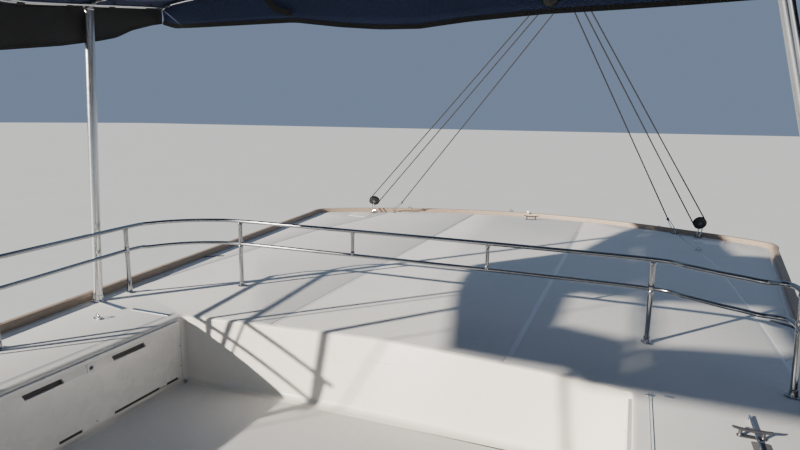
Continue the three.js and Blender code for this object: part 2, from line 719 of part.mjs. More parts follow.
// middle of each slot and notch, and its length
const LOCKER_SLOTS = [[-2170, 260], [-1525, 235]];
const LOCKER_NOTCHES = [[-2560, 125], [-2220, 415], [-1675, 170]];
const lockerDoor = () => {
  const far = WELL.half - WELL.wall - GAP;
  const near = far - LOCKER_DOOR.thick;
  const panel = box([LOCKER_DOOR.aft, near, LOCKER_DOOR.low], [LOCKER_DOOR.fore, far, LOCKER_DOOR.high]);
  const slots = LOCKER_SLOTS.map(([x, length]) =>
    box(
      [x - length / 2, near - 5, LOCKER_DOOR.slotZ - LOCKER_DOOR.slotHalf],
      [x + length / 2, far + 5, LOCKER_DOOR.slotZ + LOCKER_DOOR.slotHalf],
    ),
  );
  const notches = LOCKER_NOTCHES.map(([x, length]) =>
    box(
      [x - length / 2, near - 5, LOCKER_DOOR.low - 5],
      [x + length / 2, near + LOCKER_DOOR.notchDeep, LOCKER_DOOR.low + LOCKER_DOOR.notchHigh],
    ),
  );
  return cut(panel, slots, notches);
};

const TOE = { wide: 62, high: 62, foreX: 1700 };
const toeRail = () =>
  cut(
    prism(roofOutline(0), "z", ROOF_Z + GAP, ROOF_Z + TOE.high),
    prism(roofOutline(TOE.wide), "z", ROOF_Z - 50, ROOF_Z + 200),
    box([TOE.foreX, -4000, 3000], [6000, 4000, 5000]),
  );

// Flybridge rail: two bars on stanchions round the aft end of the flybridge

// x, y of the upper bar, from fore to aft; then x, y of the foot where a stanchion stands there
const RAIL_PORT = [
  [-600, 2170, -600, 2170],
  [-1700, 2250, -1700, 2250],
  [-3065, 2482, -3000, 2488],
  [-3235, 2300],
  [-3335, 2126],
  [-3590, 1720, -3590, 1720],
  [-3605, 900],
  [-3610, 0],
];
const RAIL_STARBOARD = [
  [-600, 2170, -600, 2170],
  [-1700, 2250, -1700, 2250],
  [-2910, 2370, -3020, 2480],
  [-3160, 2345],
  [-3380, 2190],
  [-3520, 1980],
  [-3590, 1720, -3590, 1720],
  [-3605, 900],
];
// x, y of the short uprights between the bars
const RAIL_STRUTS = [
  [-3607, 550],
  [-3607, -600],
];
const RAIL_FLANGE = { radius: 36, high: 8 };
const flybridgeRail = () => {
  const mirrored = RAIL_STARBOARD.map(([x, y, footX, footY]) => [x, -y, footX, -footY]);
  const path = [...RAIL_PORT, ...mirrored.reverse()];
  const stands = (row) => !Number.isNaN(row[3] ?? NaN);
  const at = (row, h) => {
    const [x, y, footX, footY] = stands(row) ? row : [row[0], row[1], row[0], row[1]];
    const share = h / RAIL.top;
    return [footX + (x - footX) * share, footY + (y - footY) * share, ROOF_Z + h];
  };
  const posts = path.filter(stands).map((row) => {
    const [x, y] = at(row, 0);
    const flange = rod([x, y, ROOF_Z + GAP], [x, y, ROOF_Z + GAP + RAIL_FLANGE.high], RAIL_FLANGE.radius, 8);
    return [rod(at(row, RAIL_FLANGE.high), at(row, RAIL.top), RAIL.post, 6), flange];
  });
  const struts = RAIL_STRUTS.map(([x, y]) =>
    rod([x, y, ROOF_Z + RAIL.mid], [x, y, ROOF_Z + RAIL.top], 10, 6),
  );
  const run = (h, radius) => bar(path.map((row) => at(row, h)), radius, 6);
  return join(run(RAIL.top, RAIL.tube), run(RAIL.mid, RAIL.tube * 0.9), posts, struts);
};

// Bimini

const crownZ = (y) => BIMINI.edge + BIMINI.crown * (1 - (y / BIMINI.half) ** 2);
const crownProfile = (inset, low, lift = 0) => {
  const half = BIMINI.half - inset;
  const steps = 8;
  const top = [...Array(steps + 1)].map((_, i) => {
    const y = -half + (2 * half * i) / steps;
    return [y, crownZ(y) + lift - inset];
  });
  return [...top, [half, low], [-half, low]].reverse();
};
// How far the roof stands over its level part, at one place along the boat
const biminiLift = (x) => (BIMINI.lift * Math.max(0, BIMINI.bend - x)) / (BIMINI.bend - BIMINI.aft);
const biminiBody = (inset, low) =>
  loft(
    [BIMINI.aft + inset, BIMINI.bend, BIMINI.fore - inset].map((x) =>
      crownProfile(inset, low, biminiLift(x)).map(([y, z]) => [x, y, z]),
    ),
  );
// x and height of the side curtain's hem, from fore to aft
const SIDE_HEM = [
  [2190, BIMINI.foreHem],
  [1350, BIMINI.sideHem],
  [-2150, BIMINI.sideHem],
  [-2630, 5810],
  [-3000, 5892],
  [-3320, 6017],
  [-3684, 6140],
];
// The sun screen let down on the starboard side, as x and height
const SCREEN = [
  [-2180, BIMINI.sideHem + 20],
  [-2180, 5170],
  [-1110, 5210],
  [420, 5345],
  [1300, 5425],
  [1300, BIMINI.sideHem + 20],
];
const biminiCanvas = () => {
  const [under, past] = [BIMINI.sideHem - 60, 10];
  const underHem = [
    [BIMINI.aft - past, under],
    [BIMINI.fore + past, under],
    [BIMINI.fore + past, BIMINI.foreHem],
    ...SIDE_HEM,
    [BIMINI.aft + BIMINI.skin, BIMINI.aftHem],
    [BIMINI.aft - past, BIMINI.aftHem],
  ];
  const reach = BIMINI.half + 100;
  const hood = cut(
    biminiBody(0, BIMINI.sideHem),
    biminiBody(BIMINI.skin, BIMINI.sideHem - 50),
    prism(underHem, "y", -reach, reach),
  );
  return join(hood, prism(SCREEN, "y", -BIMINI.half, -BIMINI.half + BIMINI.skin));
};

const BOW_TUBE = 16;
const BOW_CLEAR = 0.5;
const SIDE_BAR_Y = BIMINI.half - BIMINI.skin - BOW_TUBE * Math.cos(Math.PI / 6) - BOW_CLEAR;
const END_BOW = BIMINI.skin + BOW_TUBE + 2;
const BIMINI_BOWS = [BIMINI.aft + END_BOW, -2860, -1450, 400, BIMINI.fore - END_BOW];
// foot x, foot y, top x, top y and radius of each leg on the port side
const BIMINI_LEGS = [
  [-2730, 2530, -2860, SIDE_BAR_Y - 28, 36],
  [-1450, 2420, -1450, 1811, 20],
  [1800, 2080, 1900, SIDE_BAR_Y - 18, 24],
];
const LEG_FLANGE = { lip: 20, high: 8 };
// The middle of a bow at one place across the boat, under the canvas's flats.
const underCanvas = crownProfile(BIMINI.skin, 0).slice(2);
const bowZ = (x, y) => lookUp(underCanvas, y, 1) + biminiLift(x) - BOW_TUBE - BOW_CLEAR;
const biminiFrame = () => {
  const across = underCanvas.map(([y]) => Math.max(-SIDE_BAR_Y, Math.min(SIDE_BAR_Y, y)));
  const bows = BIMINI_BOWS.map((x) => bar(across.map((y) => [x, y, bowZ(x, y)]), BOW_TUBE, 6));
  const along = [BIMINI_BOWS[0], BIMINI.bend, BIMINI_BOWS.at(-1)];
  const sides = [1, -1].map((s) =>
    bar(along.map((x) => [x, s * SIDE_BAR_Y, bowZ(x, SIDE_BAR_Y)]), BOW_TUBE, 6),
  );
  const legs = [1, -1].map((s) =>
    BIMINI_LEGS.map(([x, y, topX, topY, radius]) => [
      rod([x, s * y, ROOF_Z + LEG_FLANGE.high], [topX, s * topY, bowZ(topX, topY) - 10], radius, 8),
      rod([x, s * y, ROOF_Z + GAP], [x, s * y, ROOF_Z + GAP + LEG_FLANGE.high], radius + LEG_FLANGE.lip, 8),
    ]),
  );
  return join(bows, sides, legs);
};

// Helm

const HELM = { x: 1950, y: 900, wheelZ: 4330, wheel: 330 };
const CONSOLE = { aft: 2010, fore: 2470, inY: 150, outY: 1650, top: 4680 };
const helmConsole = () =>
  prism(
    [
      [CONSOLE.aft, ROOF_Z + GAP],
      [CONSOLE.fore, ROOF_Z + GAP],
      [CONSOLE.fore, CONSOLE.top - 120],
      [CONSOLE.fore - 140, CONSOLE.top],
      [CONSOLE.aft, CONSOLE.top - 140],
    ],
    "y",
    CONSOLE.inY,
    CONSOLE.outY,
  );
const helmWheel = () => {
  const rim = solidOf(new THREE.TorusGeometry(HELM.wheel, 15, 8, 24).rotateY(Math.PI / 2));
  const spokes = [0, 1, 2].map((i) => {
    const a = (i * 2 * Math.PI) / 3;
    return rod([0, 0, 0], [0, Math.cos(a) * HELM.wheel, Math.sin(a) * HELM.wheel], 9, 8);
  });
  const hub = rod([-20, 0, 0], [CONSOLE.aft - HELM.x - GAP, 0, 0], 34, 12);
  return placed(join(rim, spokes, hub), moveBy(HELM.x, HELM.y, HELM.wheelZ));
};
const HELM_SEAT = { aft: 920, fore: 1410, half: 620, top: 4130, cushion: 110 };
const HELM_BACK = { aft: 860, fore: 940, low: 3900, high: 4620 };
const acrossHelmSeat = (aft, fore, low, high, inset = 0) =>
  box([aft, HELM.y - HELM_SEAT.half + inset, low], [fore, HELM.y + HELM_SEAT.half - inset, high]);
const helmSeatBase = () =>
  join(
    acrossHelmSeat(HELM_SEAT.aft, HELM_SEAT.fore, WELL.floor + GAP, HELM_SEAT.top),
    acrossHelmSeat(HELM_BACK.aft, HELM_BACK.fore, HELM_BACK.low, HELM_BACK.high),
  );
const helmSeatCushion = () => {
  const [low, high] = [HELM_SEAT.top + GAP, HELM_SEAT.top + HELM_SEAT.cushion];
  return acrossHelmSeat(HELM_BACK.fore + 5, HELM_SEAT.fore - 5, low, high, 5);
};

// Rig

const mastTube = (grow) => {
  const ring = (z, scale) =>
    [...Array(16)].map((_, i) => {
      const a = (i * Math.PI) / 8;
      return [
        MAST.x + Math.cos(a) * (MAST.long * scale + grow),
        Math.sin(a) * (MAST.wide * scale + grow),
        z,
      ];
    });
  return loft([ring(ROOF_Z + GAP, 1), ring(21000, 1), ring(MAST.top, 0.62)]);
};
const shroudPoint = (z) => {
  const share = (z - DECK_Z) / (MAST.hounds - DECK_Z);
  return [SHROUD.x + (MAST.x - SHROUD.x) * share, SHROUD.y * (1 - share), z];
};
const SPREADER_Z = [11200, 17300];
const BOOM_Z = { low: BOOM.z - BOOM.high, high: BOOM.z + BOOM.high };
const mast = () => {
  const spreaders = SPREADER_Z.flatMap((z) =>
    [1, -1].map((s) => {
      const [x, y] = shroudPoint(z);
      const reach = 1 - 14 / y;
      return rod([MAST.x, 0, z], [MAST.x + (x - MAST.x) * reach, s * y * reach, z], 42, 8, 26);
    }),
  );
  const foot = rod([MAST.x, 0, ROOF_Z + GAP], [MAST.x, 0, ROOF_Z + 40], 330, 16);
  return join(mastTube(0), foot, spreaders, gooseneck());
};

const shroud = () => {
  const wire = rod([SHROUD.x, SHROUD.y, DECK_Z + 30], shroudPoint(MAST.hounds), SHROUD.radius, 6);
  const plate = box([SHROUD.x - 60, SHROUD.y - 20, DECK_Z - 40], [SHROUD.x + 60, SHROUD.y + 20, DECK_Z + 90]);
  return cut(join(wire, plate), mastTube(GAP), grownHulls());
};

const STAY = { footX: BEAM.x, footZ: BEAM.z + BEAM.radius };
const forestay = () => {
  const foot = [STAY.footX, 0, STAY.footZ - 40];
  const head = [MAST.x + 60, 0, MAST.hounds + 500];
  const along = (share) => foot.map((v, i) => v + (head[i] - v) * share);
  const wire = rod(foot, head, 9, 6);
  const drum = rod(along(0.012), along(0.022), 110, 12);
  const sail = join(
    rod(along(0.035), along(0.3), 62, 10, 88),
    rod(along(0.2999), along(0.86), 88, 10, 40),
    rod(along(0.8599), along(0.93), 40, 10, 16),
  );
  return cut(join(wire, drum, sail), mastTube(GAP), beamTube(GAP));
};

const gooseneck = () => {
  const plate = (low, high) => box([BOOM.pinX - 45, -55, low], [MAST.x - 100, 55, high]);
  const pin = rod([BOOM.pinX, 0, BOOM_Z.low - 20], [BOOM.pinX, 0, BOOM_Z.high + 20], 20, 16);
  return join(plate(BOOM_Z.low - 25, BOOM_Z.low), plate(BOOM_Z.high, BOOM_Z.high + 25), pin);
};

// The boom lies along -X from its pin, and is then swung to where the photograph shows its end.
const swing = (solid) => {
  const toPin = moveBy(BOOM.pinX, 0, 0);
  return placed(solid, toPin, turnZ(BOOM.restDeg), moveBy(-BOOM.pinX, 0, 0));
};
const boom = () => {
  const section = [...Array(12)].map((_, i) => {
    const a = ((i + 0.5) * Math.PI) / 6;
    const out = 1 / Math.cos(Math.PI / 12);
    return [Math.cos(a) * BOOM.wide * out, BOOM.z + Math.sin(a) * BOOM.high * out];
  });
  const spar = prism(section, "x", BOOM.aft, BOOM.pinX - 130);
  const lug = box([BOOM.pinX - 160, -38, BOOM_Z.low + 12], [BOOM.pinX + 34, 38, BOOM_Z.high - 12]);
  const hole = rod([BOOM.pinX, 0, BOOM_Z.low], [BOOM.pinX, 0, BOOM_Z.high], 21, 16);
  return swing(cut(join(spar, lug), hole));
};

const BAG_TABLE = [
  // x, half width, height over the boom
  [2310, 150, 980],
  [250, 190, 820],
  [-3000, 180, 600],
  [-6550, 120, 330],
];
const sailBag = () =>
  swing(
    loft(
      BAG_TABLE.map(([x, half, high]) => {
        const base = BOOM_Z.high + GAP;
        const side = [
          [half * 0.75, 0],
          [half, high * 0.3],
          [half * 0.8, high * 0.75],
          [half * 0.25, high],
        ];
        const ring = [...side, ...side.map(([y, z]) => [-y, z]).reverse()];
        return ring.map(([y, z]) => [x, y, base + z]);
      }),
    ),
  );

// Sheet blocks on the aft corners of the roof

const SHEET_PAD = { x: -8170, y: 2440, halfX: 60, halfY: 45, thick: 14, eye: 12 };
const SHEET_BLOCK = { up: 195, radius: 84, half: 26 };
const sheetPad = () => {
  const { x, y, halfX, halfY, thick, eye } = SHEET_PAD;
  const hub = ROOF_Z + SHEET_BLOCK.up;
  return join(
    box([x - halfX, y - halfY, ROOF_Z + GAP], [x + halfX, y + halfY, ROOF_Z + thick]),
    rod([x, y, ROOF_Z + thick - 6], [x, y, hub - SHEET_BLOCK.radius + 20], eye, 8),
    rod([x - SHEET_BLOCK.half, y, hub], [x + SHEET_BLOCK.half, y, hub], SHEET_BLOCK.radius, 16),
  );
};

// Cockpit and saloon

// x, half length at the foot
const POSTS = [[-7350, 130], [-5150, 90]];
const POST = { y: 2900, half: 60, underEdge: 300 };
const supports = () => {
  const ring = (x, aft, fore, y, z) => [
    [x - aft, y - POST.half, z],
    [x + fore, y - POST.half, z],
    [x + fore, y + POST.half, z],
    [x - aft, y + POST.half, z],
  ];
  const sill = box([-7600, POST.y - 70, DECK_Z + GAP], [-5000, POST.y + 70, DECK_Z + 50]);
  const posts = POSTS.map(([x, half]) => {
    const topY = lookUp(ROOF_TABLE, x, 1) - POST.underEdge;
    return loft([
      ring(x, half, half, POST.y, DECK_Z + 20),
      ring(x, half * 1.3, half * 0.7, topY, ROOF_UNDER_Z),
    ]);
  });
  return join(sill, posts);
};

const SEAT = { aft: -6400, fore: -3700, top: 1720, back: 2560, depth: 640, cushion: 110 };
const cockpitSeat = () =>
  box([SEAT.aft, SEAT.back - SEAT.depth, FLOOR_Z - 10], [SEAT.fore, SEAT.back, SEAT.top]);
const cockpitCushion = () =>
  box(
    [SEAT.aft + 10, SEAT.back - SEAT.depth + 10, SEAT.top + GAP],
    [SEAT.fore - 10, SEAT.back - 10, SEAT.top + SEAT.cushion],
  );
const aftCushion = () =>
  box(
    [BRIDGE.aft + 30, -1900, BRIDGE.seatTop + GAP],
    [BRIDGE.seat - 20, 1900, BRIDGE.seatTop + SEAT.cushion],
  );

const table = (x, y, halfX, halfY, top) =>
  join(
    box([x - halfX, y - halfY, top - 45], [x + halfX, y + halfY, top]),
    rod([x, y, FLOOR_Z + GAP + 5], [x, y, top - 20], 60, 12),
    rod([x, y, FLOOR_Z + GAP], [x, y, FLOOR_Z + GAP + 20], 220, 16),
  );

// The room inside the saloon's walls, down to its sole.
const saloonRoom = () => {
  const clear = HOUSE_WALL + 16;
  const low = loft([FLOOR_Z + GAP, HOUSE_FOOT_Z + 10].map((z) => houseRing(z, 0, 1, clear)));
  return cut(join(low, houseBody(clear)), grownHulls());
};
const dinette = () =>
  join(
    box([900, -2600, FLOOR_Z], [3200, -1850, 1750]),
    box([3100, -2600, FLOOR_Z], [3700, -300, 1750]),
    box([900, -2600, 1700], [2500, -2230, 2150]),
  ).intersect(saloonRoom());
const galley = () =>
  join(
    box([-2500, 1750, FLOOR_Z], [2200, 2600, 2230]),
    box([1600, 500, FLOOR_Z], [2200, 1800, 2230]),
  ).intersect(saloonRoom());

// Side steps from the deck to the flybridge

const STEP_RISE = { count: 5, foreX: 1650, run: 300, outY: 3330, landing: 250, topZ: ROOF_UNDER_Z - 129 };
const sideSteps = () => {
  const footZ = DECK_Z + 21;
  const rise = (STEP_RISE.topZ - footZ) / STEP_RISE.count;
  const aftX = STEP_RISE.foreX - STEP_RISE.count * STEP_RISE.run - STEP_RISE.landing;
  const points = [[aftX, DECK_Z - 50], [STEP_RISE.foreX, DECK_Z - 50]];
  for (let i = 0; i < STEP_RISE.count; i++) {
    const x = STEP_RISE.foreX - i * STEP_RISE.run;
    points.push([x, footZ + (i + 1) * rise], [x - STEP_RISE.run, footZ + (i + 1) * rise]);
  }
  points.push([aftX, STEP_RISE.topZ]);
  return cut(
    prism(points, "y", 2300, STEP_RISE.outY),
    houseBody(HOUSE_WALL / 2),
    houseBody(-GAP).intersect(box([-9000, 0, WINDOW.low - 30], [9000, 4000, 6000])),
    grownHulls(),
    foredeckBlock(GAP),
    box([-9000, 0, 0], [9000, 2300, 6000]),
  );
};

// Guard rails on the hulls: stanchions with two lifelines, and a pulpit at the bow

// x, height of the rail there; the rail stands just inside the deck edge
const GUARD_X = [-7700, -6100, -4400, -2700, -1000, 700, 2500, 4300, 6000, 7500, 8700, 9250];
const GUARD = { top: 620, mid: 320, inset: 70, post: 14, line: 6 };
const deckEdge = (x) => [
  HULL_Y + lookUp(HULL_TABLE, x, 1) * 0.985 - GUARD.inset,
  lookUp(HULL_TABLE, x, 4),
];
const guardRail = () => {
  const points = (h) =>
    GUARD_X.map((x) => {
      const [y, z] = deckEdge(x);
      return [x, y, z + h];
    });
  const top = points(GUARD.top);
  const mid = points(GUARD.mid);
  const foot = points(-60);
  const posts = foot.map((p, i) => rod(p, top[i], GUARD.post, 6));
  const lines = [top, mid].map((run) => bar(run, GUARD.line, 4));
  const pulpit = [9250, 9560].map((x) => {
    const [, z] = deckEdge(x);
    return [x, HULL_Y, z];
  });
  const nose = bar(
    [
      top[top.length - 1],
      [9600, HULL_Y, pulpit[1][2] + GUARD.top],
      [9250, HULL_Y - 120, pulpit[0][2] + GUARD.top],
      [8700, HULL_Y - 330, pulpit[0][2] + GUARD.top - 20],
    ],
    GUARD.post,
    6,
  );
  const innerPost = rod(
    [8700, HULL_Y - 330, DECK_Z + 200],
    [8700, HULL_Y - 330, pulpit[0][2] + GUARD.top - 20],
    GUARD.post,
    6,
  );
  return cut(join(posts, lines, nose, innerPost), grownHulls());
};

// The object

const group = new THREE.Group();
const add = (name, finish, solid) => {
  const [color, roughness, metalness] = FINISH[finish];
  const material = new THREE.MeshStandardMaterial({ color, roughness, metalness });
  const mesh = new THREE.Mesh(geometryOf(solid), material);
  mesh.name = name;
  group.add(mesh);
};
const addPair = (name, finish, portSolid) => {
  add(name + "_port", finish, portSolid);
  add(name + "_starboard", finish, mirrorY(portSolid));
};

addPair("hull", "gelcoat", hull());
addPair("rudder", "antifoul", rudder());
addPair("propeller", "bronze", propeller());
addPair("engine", "engine", engine());
addPair("engine_hatch", "nonskid", engineHatch());
add("bridgedeck", "gelcoat", bridgeDeck());
add("crossbeam", "aluminium", crossbeam());
add("catwalk", "gelcoat", catwalk());
addPair("trampoline", "net", net());

const walls = houseWalls();
addPair("house_side", "gelcoat", join(walls.side, sideSteps()));
add("house_front", "gelcoat", walls.front);
const panes = houseGlass();
addPair("side_glass", "glass", panes.side);
add("front_glass", "glass", panes.front);
add("aft_bulkhead", "gelcoat", bulkhead());
addPair("bulkhead_glass", "glass", bulkheadPane());
add("sliding_door", "aluminium", doorFrame(...SLIDING));
add("sliding_door_glass", "glass", doorPane(...SLIDING));
add("fixed_door_glass", "glass", doorPane(...FIXED));
addPair("roof_support", "gelcoat", supports());

add("flybridge_deck", "nonskid", roofDeck());
add("flybridge_well", "gelcoat", wellTub());
addPair("flybridge_locker", "gelcoat", lockerBox());
addPair("locker_door", "gelcoat", lockerDoor());
add("toe_rail", "teak", toeRail());
add("flybridge_rail", "steel", flybridgeRail());
add("bimini_frame", "steel", biminiFrame());
add("bimini_canvas", "canvas", biminiCanvas());
add("helm_console", "gelcoat", helmConsole());
add("helm_wheel", "steel", helmWheel());
add("helm_seat", "gelcoat", helmSeatBase());
add("helm_cushion", "cushion", helmSeatCushion());

add("cockpit_cushion", "cushion", cockpitCushion());
add("aft_cushion", "cushion", aftCushion());
add("cockpit_table", "teak", table(-5000, 1250, 800, 420, 2030));
add("saloon_seat", "interior", dinette());
add("saloon_table", "teak", table(2100, -1350, 600, 430, 2030));
add("galley", "interior", galley());

add("mast", "aluminium", mast());
add("boom", "aluminium", boom());
add("sail_bag", "canvas", sailBag());
addPair("shroud", "steel", shroud());
add("forestay", "sailcloth", forestay());
addPair("sheet_pad", "black", sheetPad());
addPair("guard_rail", "steel", guardRail());

export default group;
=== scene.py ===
"""Looks of the sailing catamaran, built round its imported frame.

Metres; +X forward, +Y port, +Z up, waterline at 0.
"""

import math

import bmesh
import bpy
from mathutils import Matrix, Vector, noise


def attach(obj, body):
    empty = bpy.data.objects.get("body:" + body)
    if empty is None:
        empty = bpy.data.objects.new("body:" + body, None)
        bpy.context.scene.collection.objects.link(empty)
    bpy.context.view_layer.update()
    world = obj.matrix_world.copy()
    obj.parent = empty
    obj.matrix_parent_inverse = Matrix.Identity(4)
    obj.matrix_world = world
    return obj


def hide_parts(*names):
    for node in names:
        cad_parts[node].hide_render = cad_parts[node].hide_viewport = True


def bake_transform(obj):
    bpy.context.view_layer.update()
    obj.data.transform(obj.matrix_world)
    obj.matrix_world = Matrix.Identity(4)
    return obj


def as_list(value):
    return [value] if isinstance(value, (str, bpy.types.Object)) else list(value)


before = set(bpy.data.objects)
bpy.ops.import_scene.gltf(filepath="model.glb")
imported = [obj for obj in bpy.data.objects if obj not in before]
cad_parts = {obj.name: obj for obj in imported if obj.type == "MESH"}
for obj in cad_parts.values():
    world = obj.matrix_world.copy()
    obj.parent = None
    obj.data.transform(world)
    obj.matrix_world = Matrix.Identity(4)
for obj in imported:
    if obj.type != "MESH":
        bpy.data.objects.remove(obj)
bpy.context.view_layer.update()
scene = bpy.context.scene

# The photograph's camera, on the flybridge
CAMERA_AT = (0.75, 1.541, 5.27)
CAMERA_PITCH, CAMERA_YAW, CAMERA_ROLL = (math.radians(a) for a in (10.02, 21.5, 0.9))
LENS, SENSOR = 26.5, 36.0
SUN_AZIMUTH, SUN_HEIGHT = math.radians(-38.8), math.radians(18.6)

# Sizes shared with the solids
DECK_Z = 1.8
ROOF_UNDER, ROOF_Z = 3.6, 3.75
HULL_Y = 3.7
SOLE_Z = 1.3
WELL = {"aft": -2.757, "fore": 1.67, "half": 1.677, "floor": 3.245, "wall": 0.04}
PANEL = 0.002  # height of a non-skid panel over the smooth deck
UP = (0, 0, 1)
FLOOR_BOW = 0.12  # share of the aft side's bow that is left at the well's floor: the wall leans
# distance off the centreline, and how far the rim of the well's aft side is bowed aft there
WELL_BOW = [(0.0, 0.158), (0.12, 0.155), (0.375, 0.135), (0.745, 0.098), (1.11, 0.063), (1.5, 0.022),
            (1.6, 0.0)]


# Mesh helpers


def mirrored(geo):
    verts, faces = geo
    return [Vector((v[0], -v[1], v[2])) for v in verts], [tuple(reversed(f)) for f in faces]


def merged(*parts):
    verts, faces = [], []
    for v, f in parts:
        start = len(verts)
        verts += v
        faces += [tuple(i + start for i in face) for face in f]
    return verts, faces


def moved(geo, matrix):
    return [matrix @ Vector(v) for v in geo[0]], geo[1]


def shift(geo, x=0.0, y=0.0, z=0.0):
    return moved(geo, Matrix.Translation((x, y, z)))


def turned(geo, angle, axis, at=(0, 0, 0)):
    at = Vector(at)
    turn = Matrix.Rotation(math.radians(angle), 4, axis)
    return moved(geo, Matrix.Translation(at) @ turn @ Matrix.Translation(-at))


def frames(path, closed=False, up=None):
    """For each point of a path: the point, a side direction and an up direction."""
    points = [Vector(p) for p in path]
    count, rows, last = len(points), [], None
    for i, p in enumerate(points):
        before = points[i - 1] if i or closed else p
        after = points[(i + 1) % count] if i < count - 1 or closed else p
        along = (after - before).normalized()
        if up is not None:
            side = along.cross(Vector(up)).normalized()
        elif last is None:
            side = along.cross(Vector((0, 0, 1) if abs(along.z) < 0.9 else (1, 0, 0))).normalized()
        else:
            side = (last - along * last.dot(along)).normalized()
        last = side
        rows.append((p, side, side.cross(along).normalized()))
    return rows


def ring_faces(size, count, closed=False, caps=True):
    """The faces between rings of that many points, and a cap at each end."""
    faces = []
    for r in range(count if closed else count - 1):
        low, high = r * size, ((r + 1) % count) * size
        faces += [(low + i, low + (i + 1) % size, high + (i + 1) % size, high + i) for i in range(size)]
    if caps and not closed:
        faces += [tuple(range(size))[::-1], tuple(range((count - 1) * size, count * size))]
    return faces


def sweep(path, section, closed=False, up=None, scale=None):
    """A section of (side, up) pairs carried along a path, with its ends capped."""
    rows = frames(path, closed, up)
    scale = scale or [1.0] * len(rows)
    verts = [p + side * (a * k) + top * (b * k) for (p, side, top), k in zip(rows, scale) for a, b in section]
    return verts, ring_faces(len(section), len(rows), closed)


def circle(radius, sides=12, squash=1.0):
    turn = 2 * math.pi / sides
    return [(radius * math.cos(i * turn), radius * squash * math.sin(i * turn)) for i in range(sides)]


def tube(path, radius, sides=12, closed=False):
    return sweep(path, circle(radius, sides), closed)


def rounded(points, radius, steps=6, closed=False):
    """A polyline whose corners are rounded off."""
    points = [Vector(p) for p in points]
    count, out = len(points), []
    for i, p in enumerate(points):
        if not closed and i in (0, count - 1):
            out.append(p)
            continue
        a, b = points[i - 1] - p, points[(i + 1) % count] - p
        reach = min(radius, a.length * 0.49, b.length * 0.49)
        start, end = p + a.normalized() * reach, p + b.normalized() * reach
        for k in range(steps + 1):
            t = k / steps
            out.append(start * (1 - t) ** 2 + p * (2 * t * (1 - t)) + end * t * t)
    return out


def flat_bar(half, high, low=None):
    """A rectangular section, as deep below its path as above it unless low is given."""
    low = -high if low is None else low
    return [(-half, low), (half, low), (half, high), (-half, high)]


def spline(points, per=6, closed=False):
    """A smooth curve through the points."""
    points = [Vector(p) for p in points]
    count, out = len(points), []
    for i in range(count if closed else count - 1):
        if closed:
            a, b, c, d = (points[(i + k) % count] for k in (-1, 0, 1, 2))
        else:
            a, b, c, d = points[max(i - 1, 0)], points[i], points[i + 1], points[min(i + 2, count - 1)]
        for t in [k / per for k in range(per)]:
            bend = (2 * a - 5 * b + 4 * c - d) * t * t
            out.append(0.5 * (2 * b + (c - a) * t + bend + (3 * b - a - 3 * c + d) * t**3))
    if not closed:
        out.append(points[-1])
    return out


def lathe(profile, at=(0, 0, 0), axis=(0, 0, 1), sides=24):
    """A profile of (radius, height) turned about an axis."""
    turn = Vector((0, 0, 1)).rotation_difference(Vector(axis).normalized()).to_matrix()
    at = Vector(at)
    verts = [at + turn @ Vector((r * c, r * s, h)) for r, h in profile for c, s in circle(1, sides)]
    return verts, ring_faces(sides, len(profile))


def loft(rings, caps=True):
    """A skin over rings of points."""
    return [Vector(p) for ring in rings for p in ring], ring_faces(len(rings[0]), len(rings), caps=caps)


def placed(geo, x, y, z, turn=0.0):
    """A fitting turned about its own foot and set down at a place."""
    return shift(turned(geo, turn, "Z"), x, y, z)


def grid(rows):
    """An open sheet through rows of points."""
    width = len(rows[0])
    verts = [Vector(p) for row in rows for p in row]
    faces = [(r * width + i, r * width + i + 1, (r + 1) * width + i + 1, (r + 1) * width + i)
             for r in range(len(rows) - 1) for i in range(width - 1)]
    return verts, faces


def spaced(first, last, count):
    return [first + (last - first) * i / count for i in range(count + 1)]


def run_length(line):
    return sum((Vector(b) - Vector(a)).length for a, b in zip(line, line[1:]))


def anticlockwise(line):
    area = sum(a[0] * b[1] - b[0] * a[1] for a, b in zip(line, line[1:] + line[:1]))
    return list(line) if area > 0 else list(line)[::-1]


def inset(line, distance):
    """An anticlockwise outline moved inwards."""
    if not distance:
        return [(p[0], p[1]) for p in line]
    out, count = [], len(line)
    for i, (x, y) in enumerate(line):
        (ax, ay), (bx, by) = line[i - 1], line[(i + 1) % count]
        first, second = math.hypot(x - ax, y - ay) or 1, math.hypot(bx - x, by - y) or 1
        n1 = (-(y - ay) / first, (x - ax) / first)
        n2 = (-(by - y) / second, (bx - x) / second)
        mx, my = n1[0] + n2[0], n1[1] + n2[1]
        k = 2 * distance / max(mx * mx + my * my, 0.5)
        out.append((x + mx * k, y + my * k))
    return out


def corners(line, radius, steps=5):
    return [(p.x, p.y) for p in rounded([(x, y, 0) for x, y in line], radius, steps, closed=True)]


def oval_line(a, b, sides=28):
    return [(a * c, b * s) for c, s in circle(1, sides)]


def oblong(x0, y0, x1, y1, radius=0.0, steps=5):
    line = [(x0, y0), (x1, y0), (x1, y1), (x0, y1)]
    return corners(line, radius, steps) if radius else line


def tile(a, b, radius, low, high, edge, steps=5):
    """A thin plate with round corners about its own middle."""
    return slab(oblong(-a, -b, a, b, radius, steps), low, high, edge)


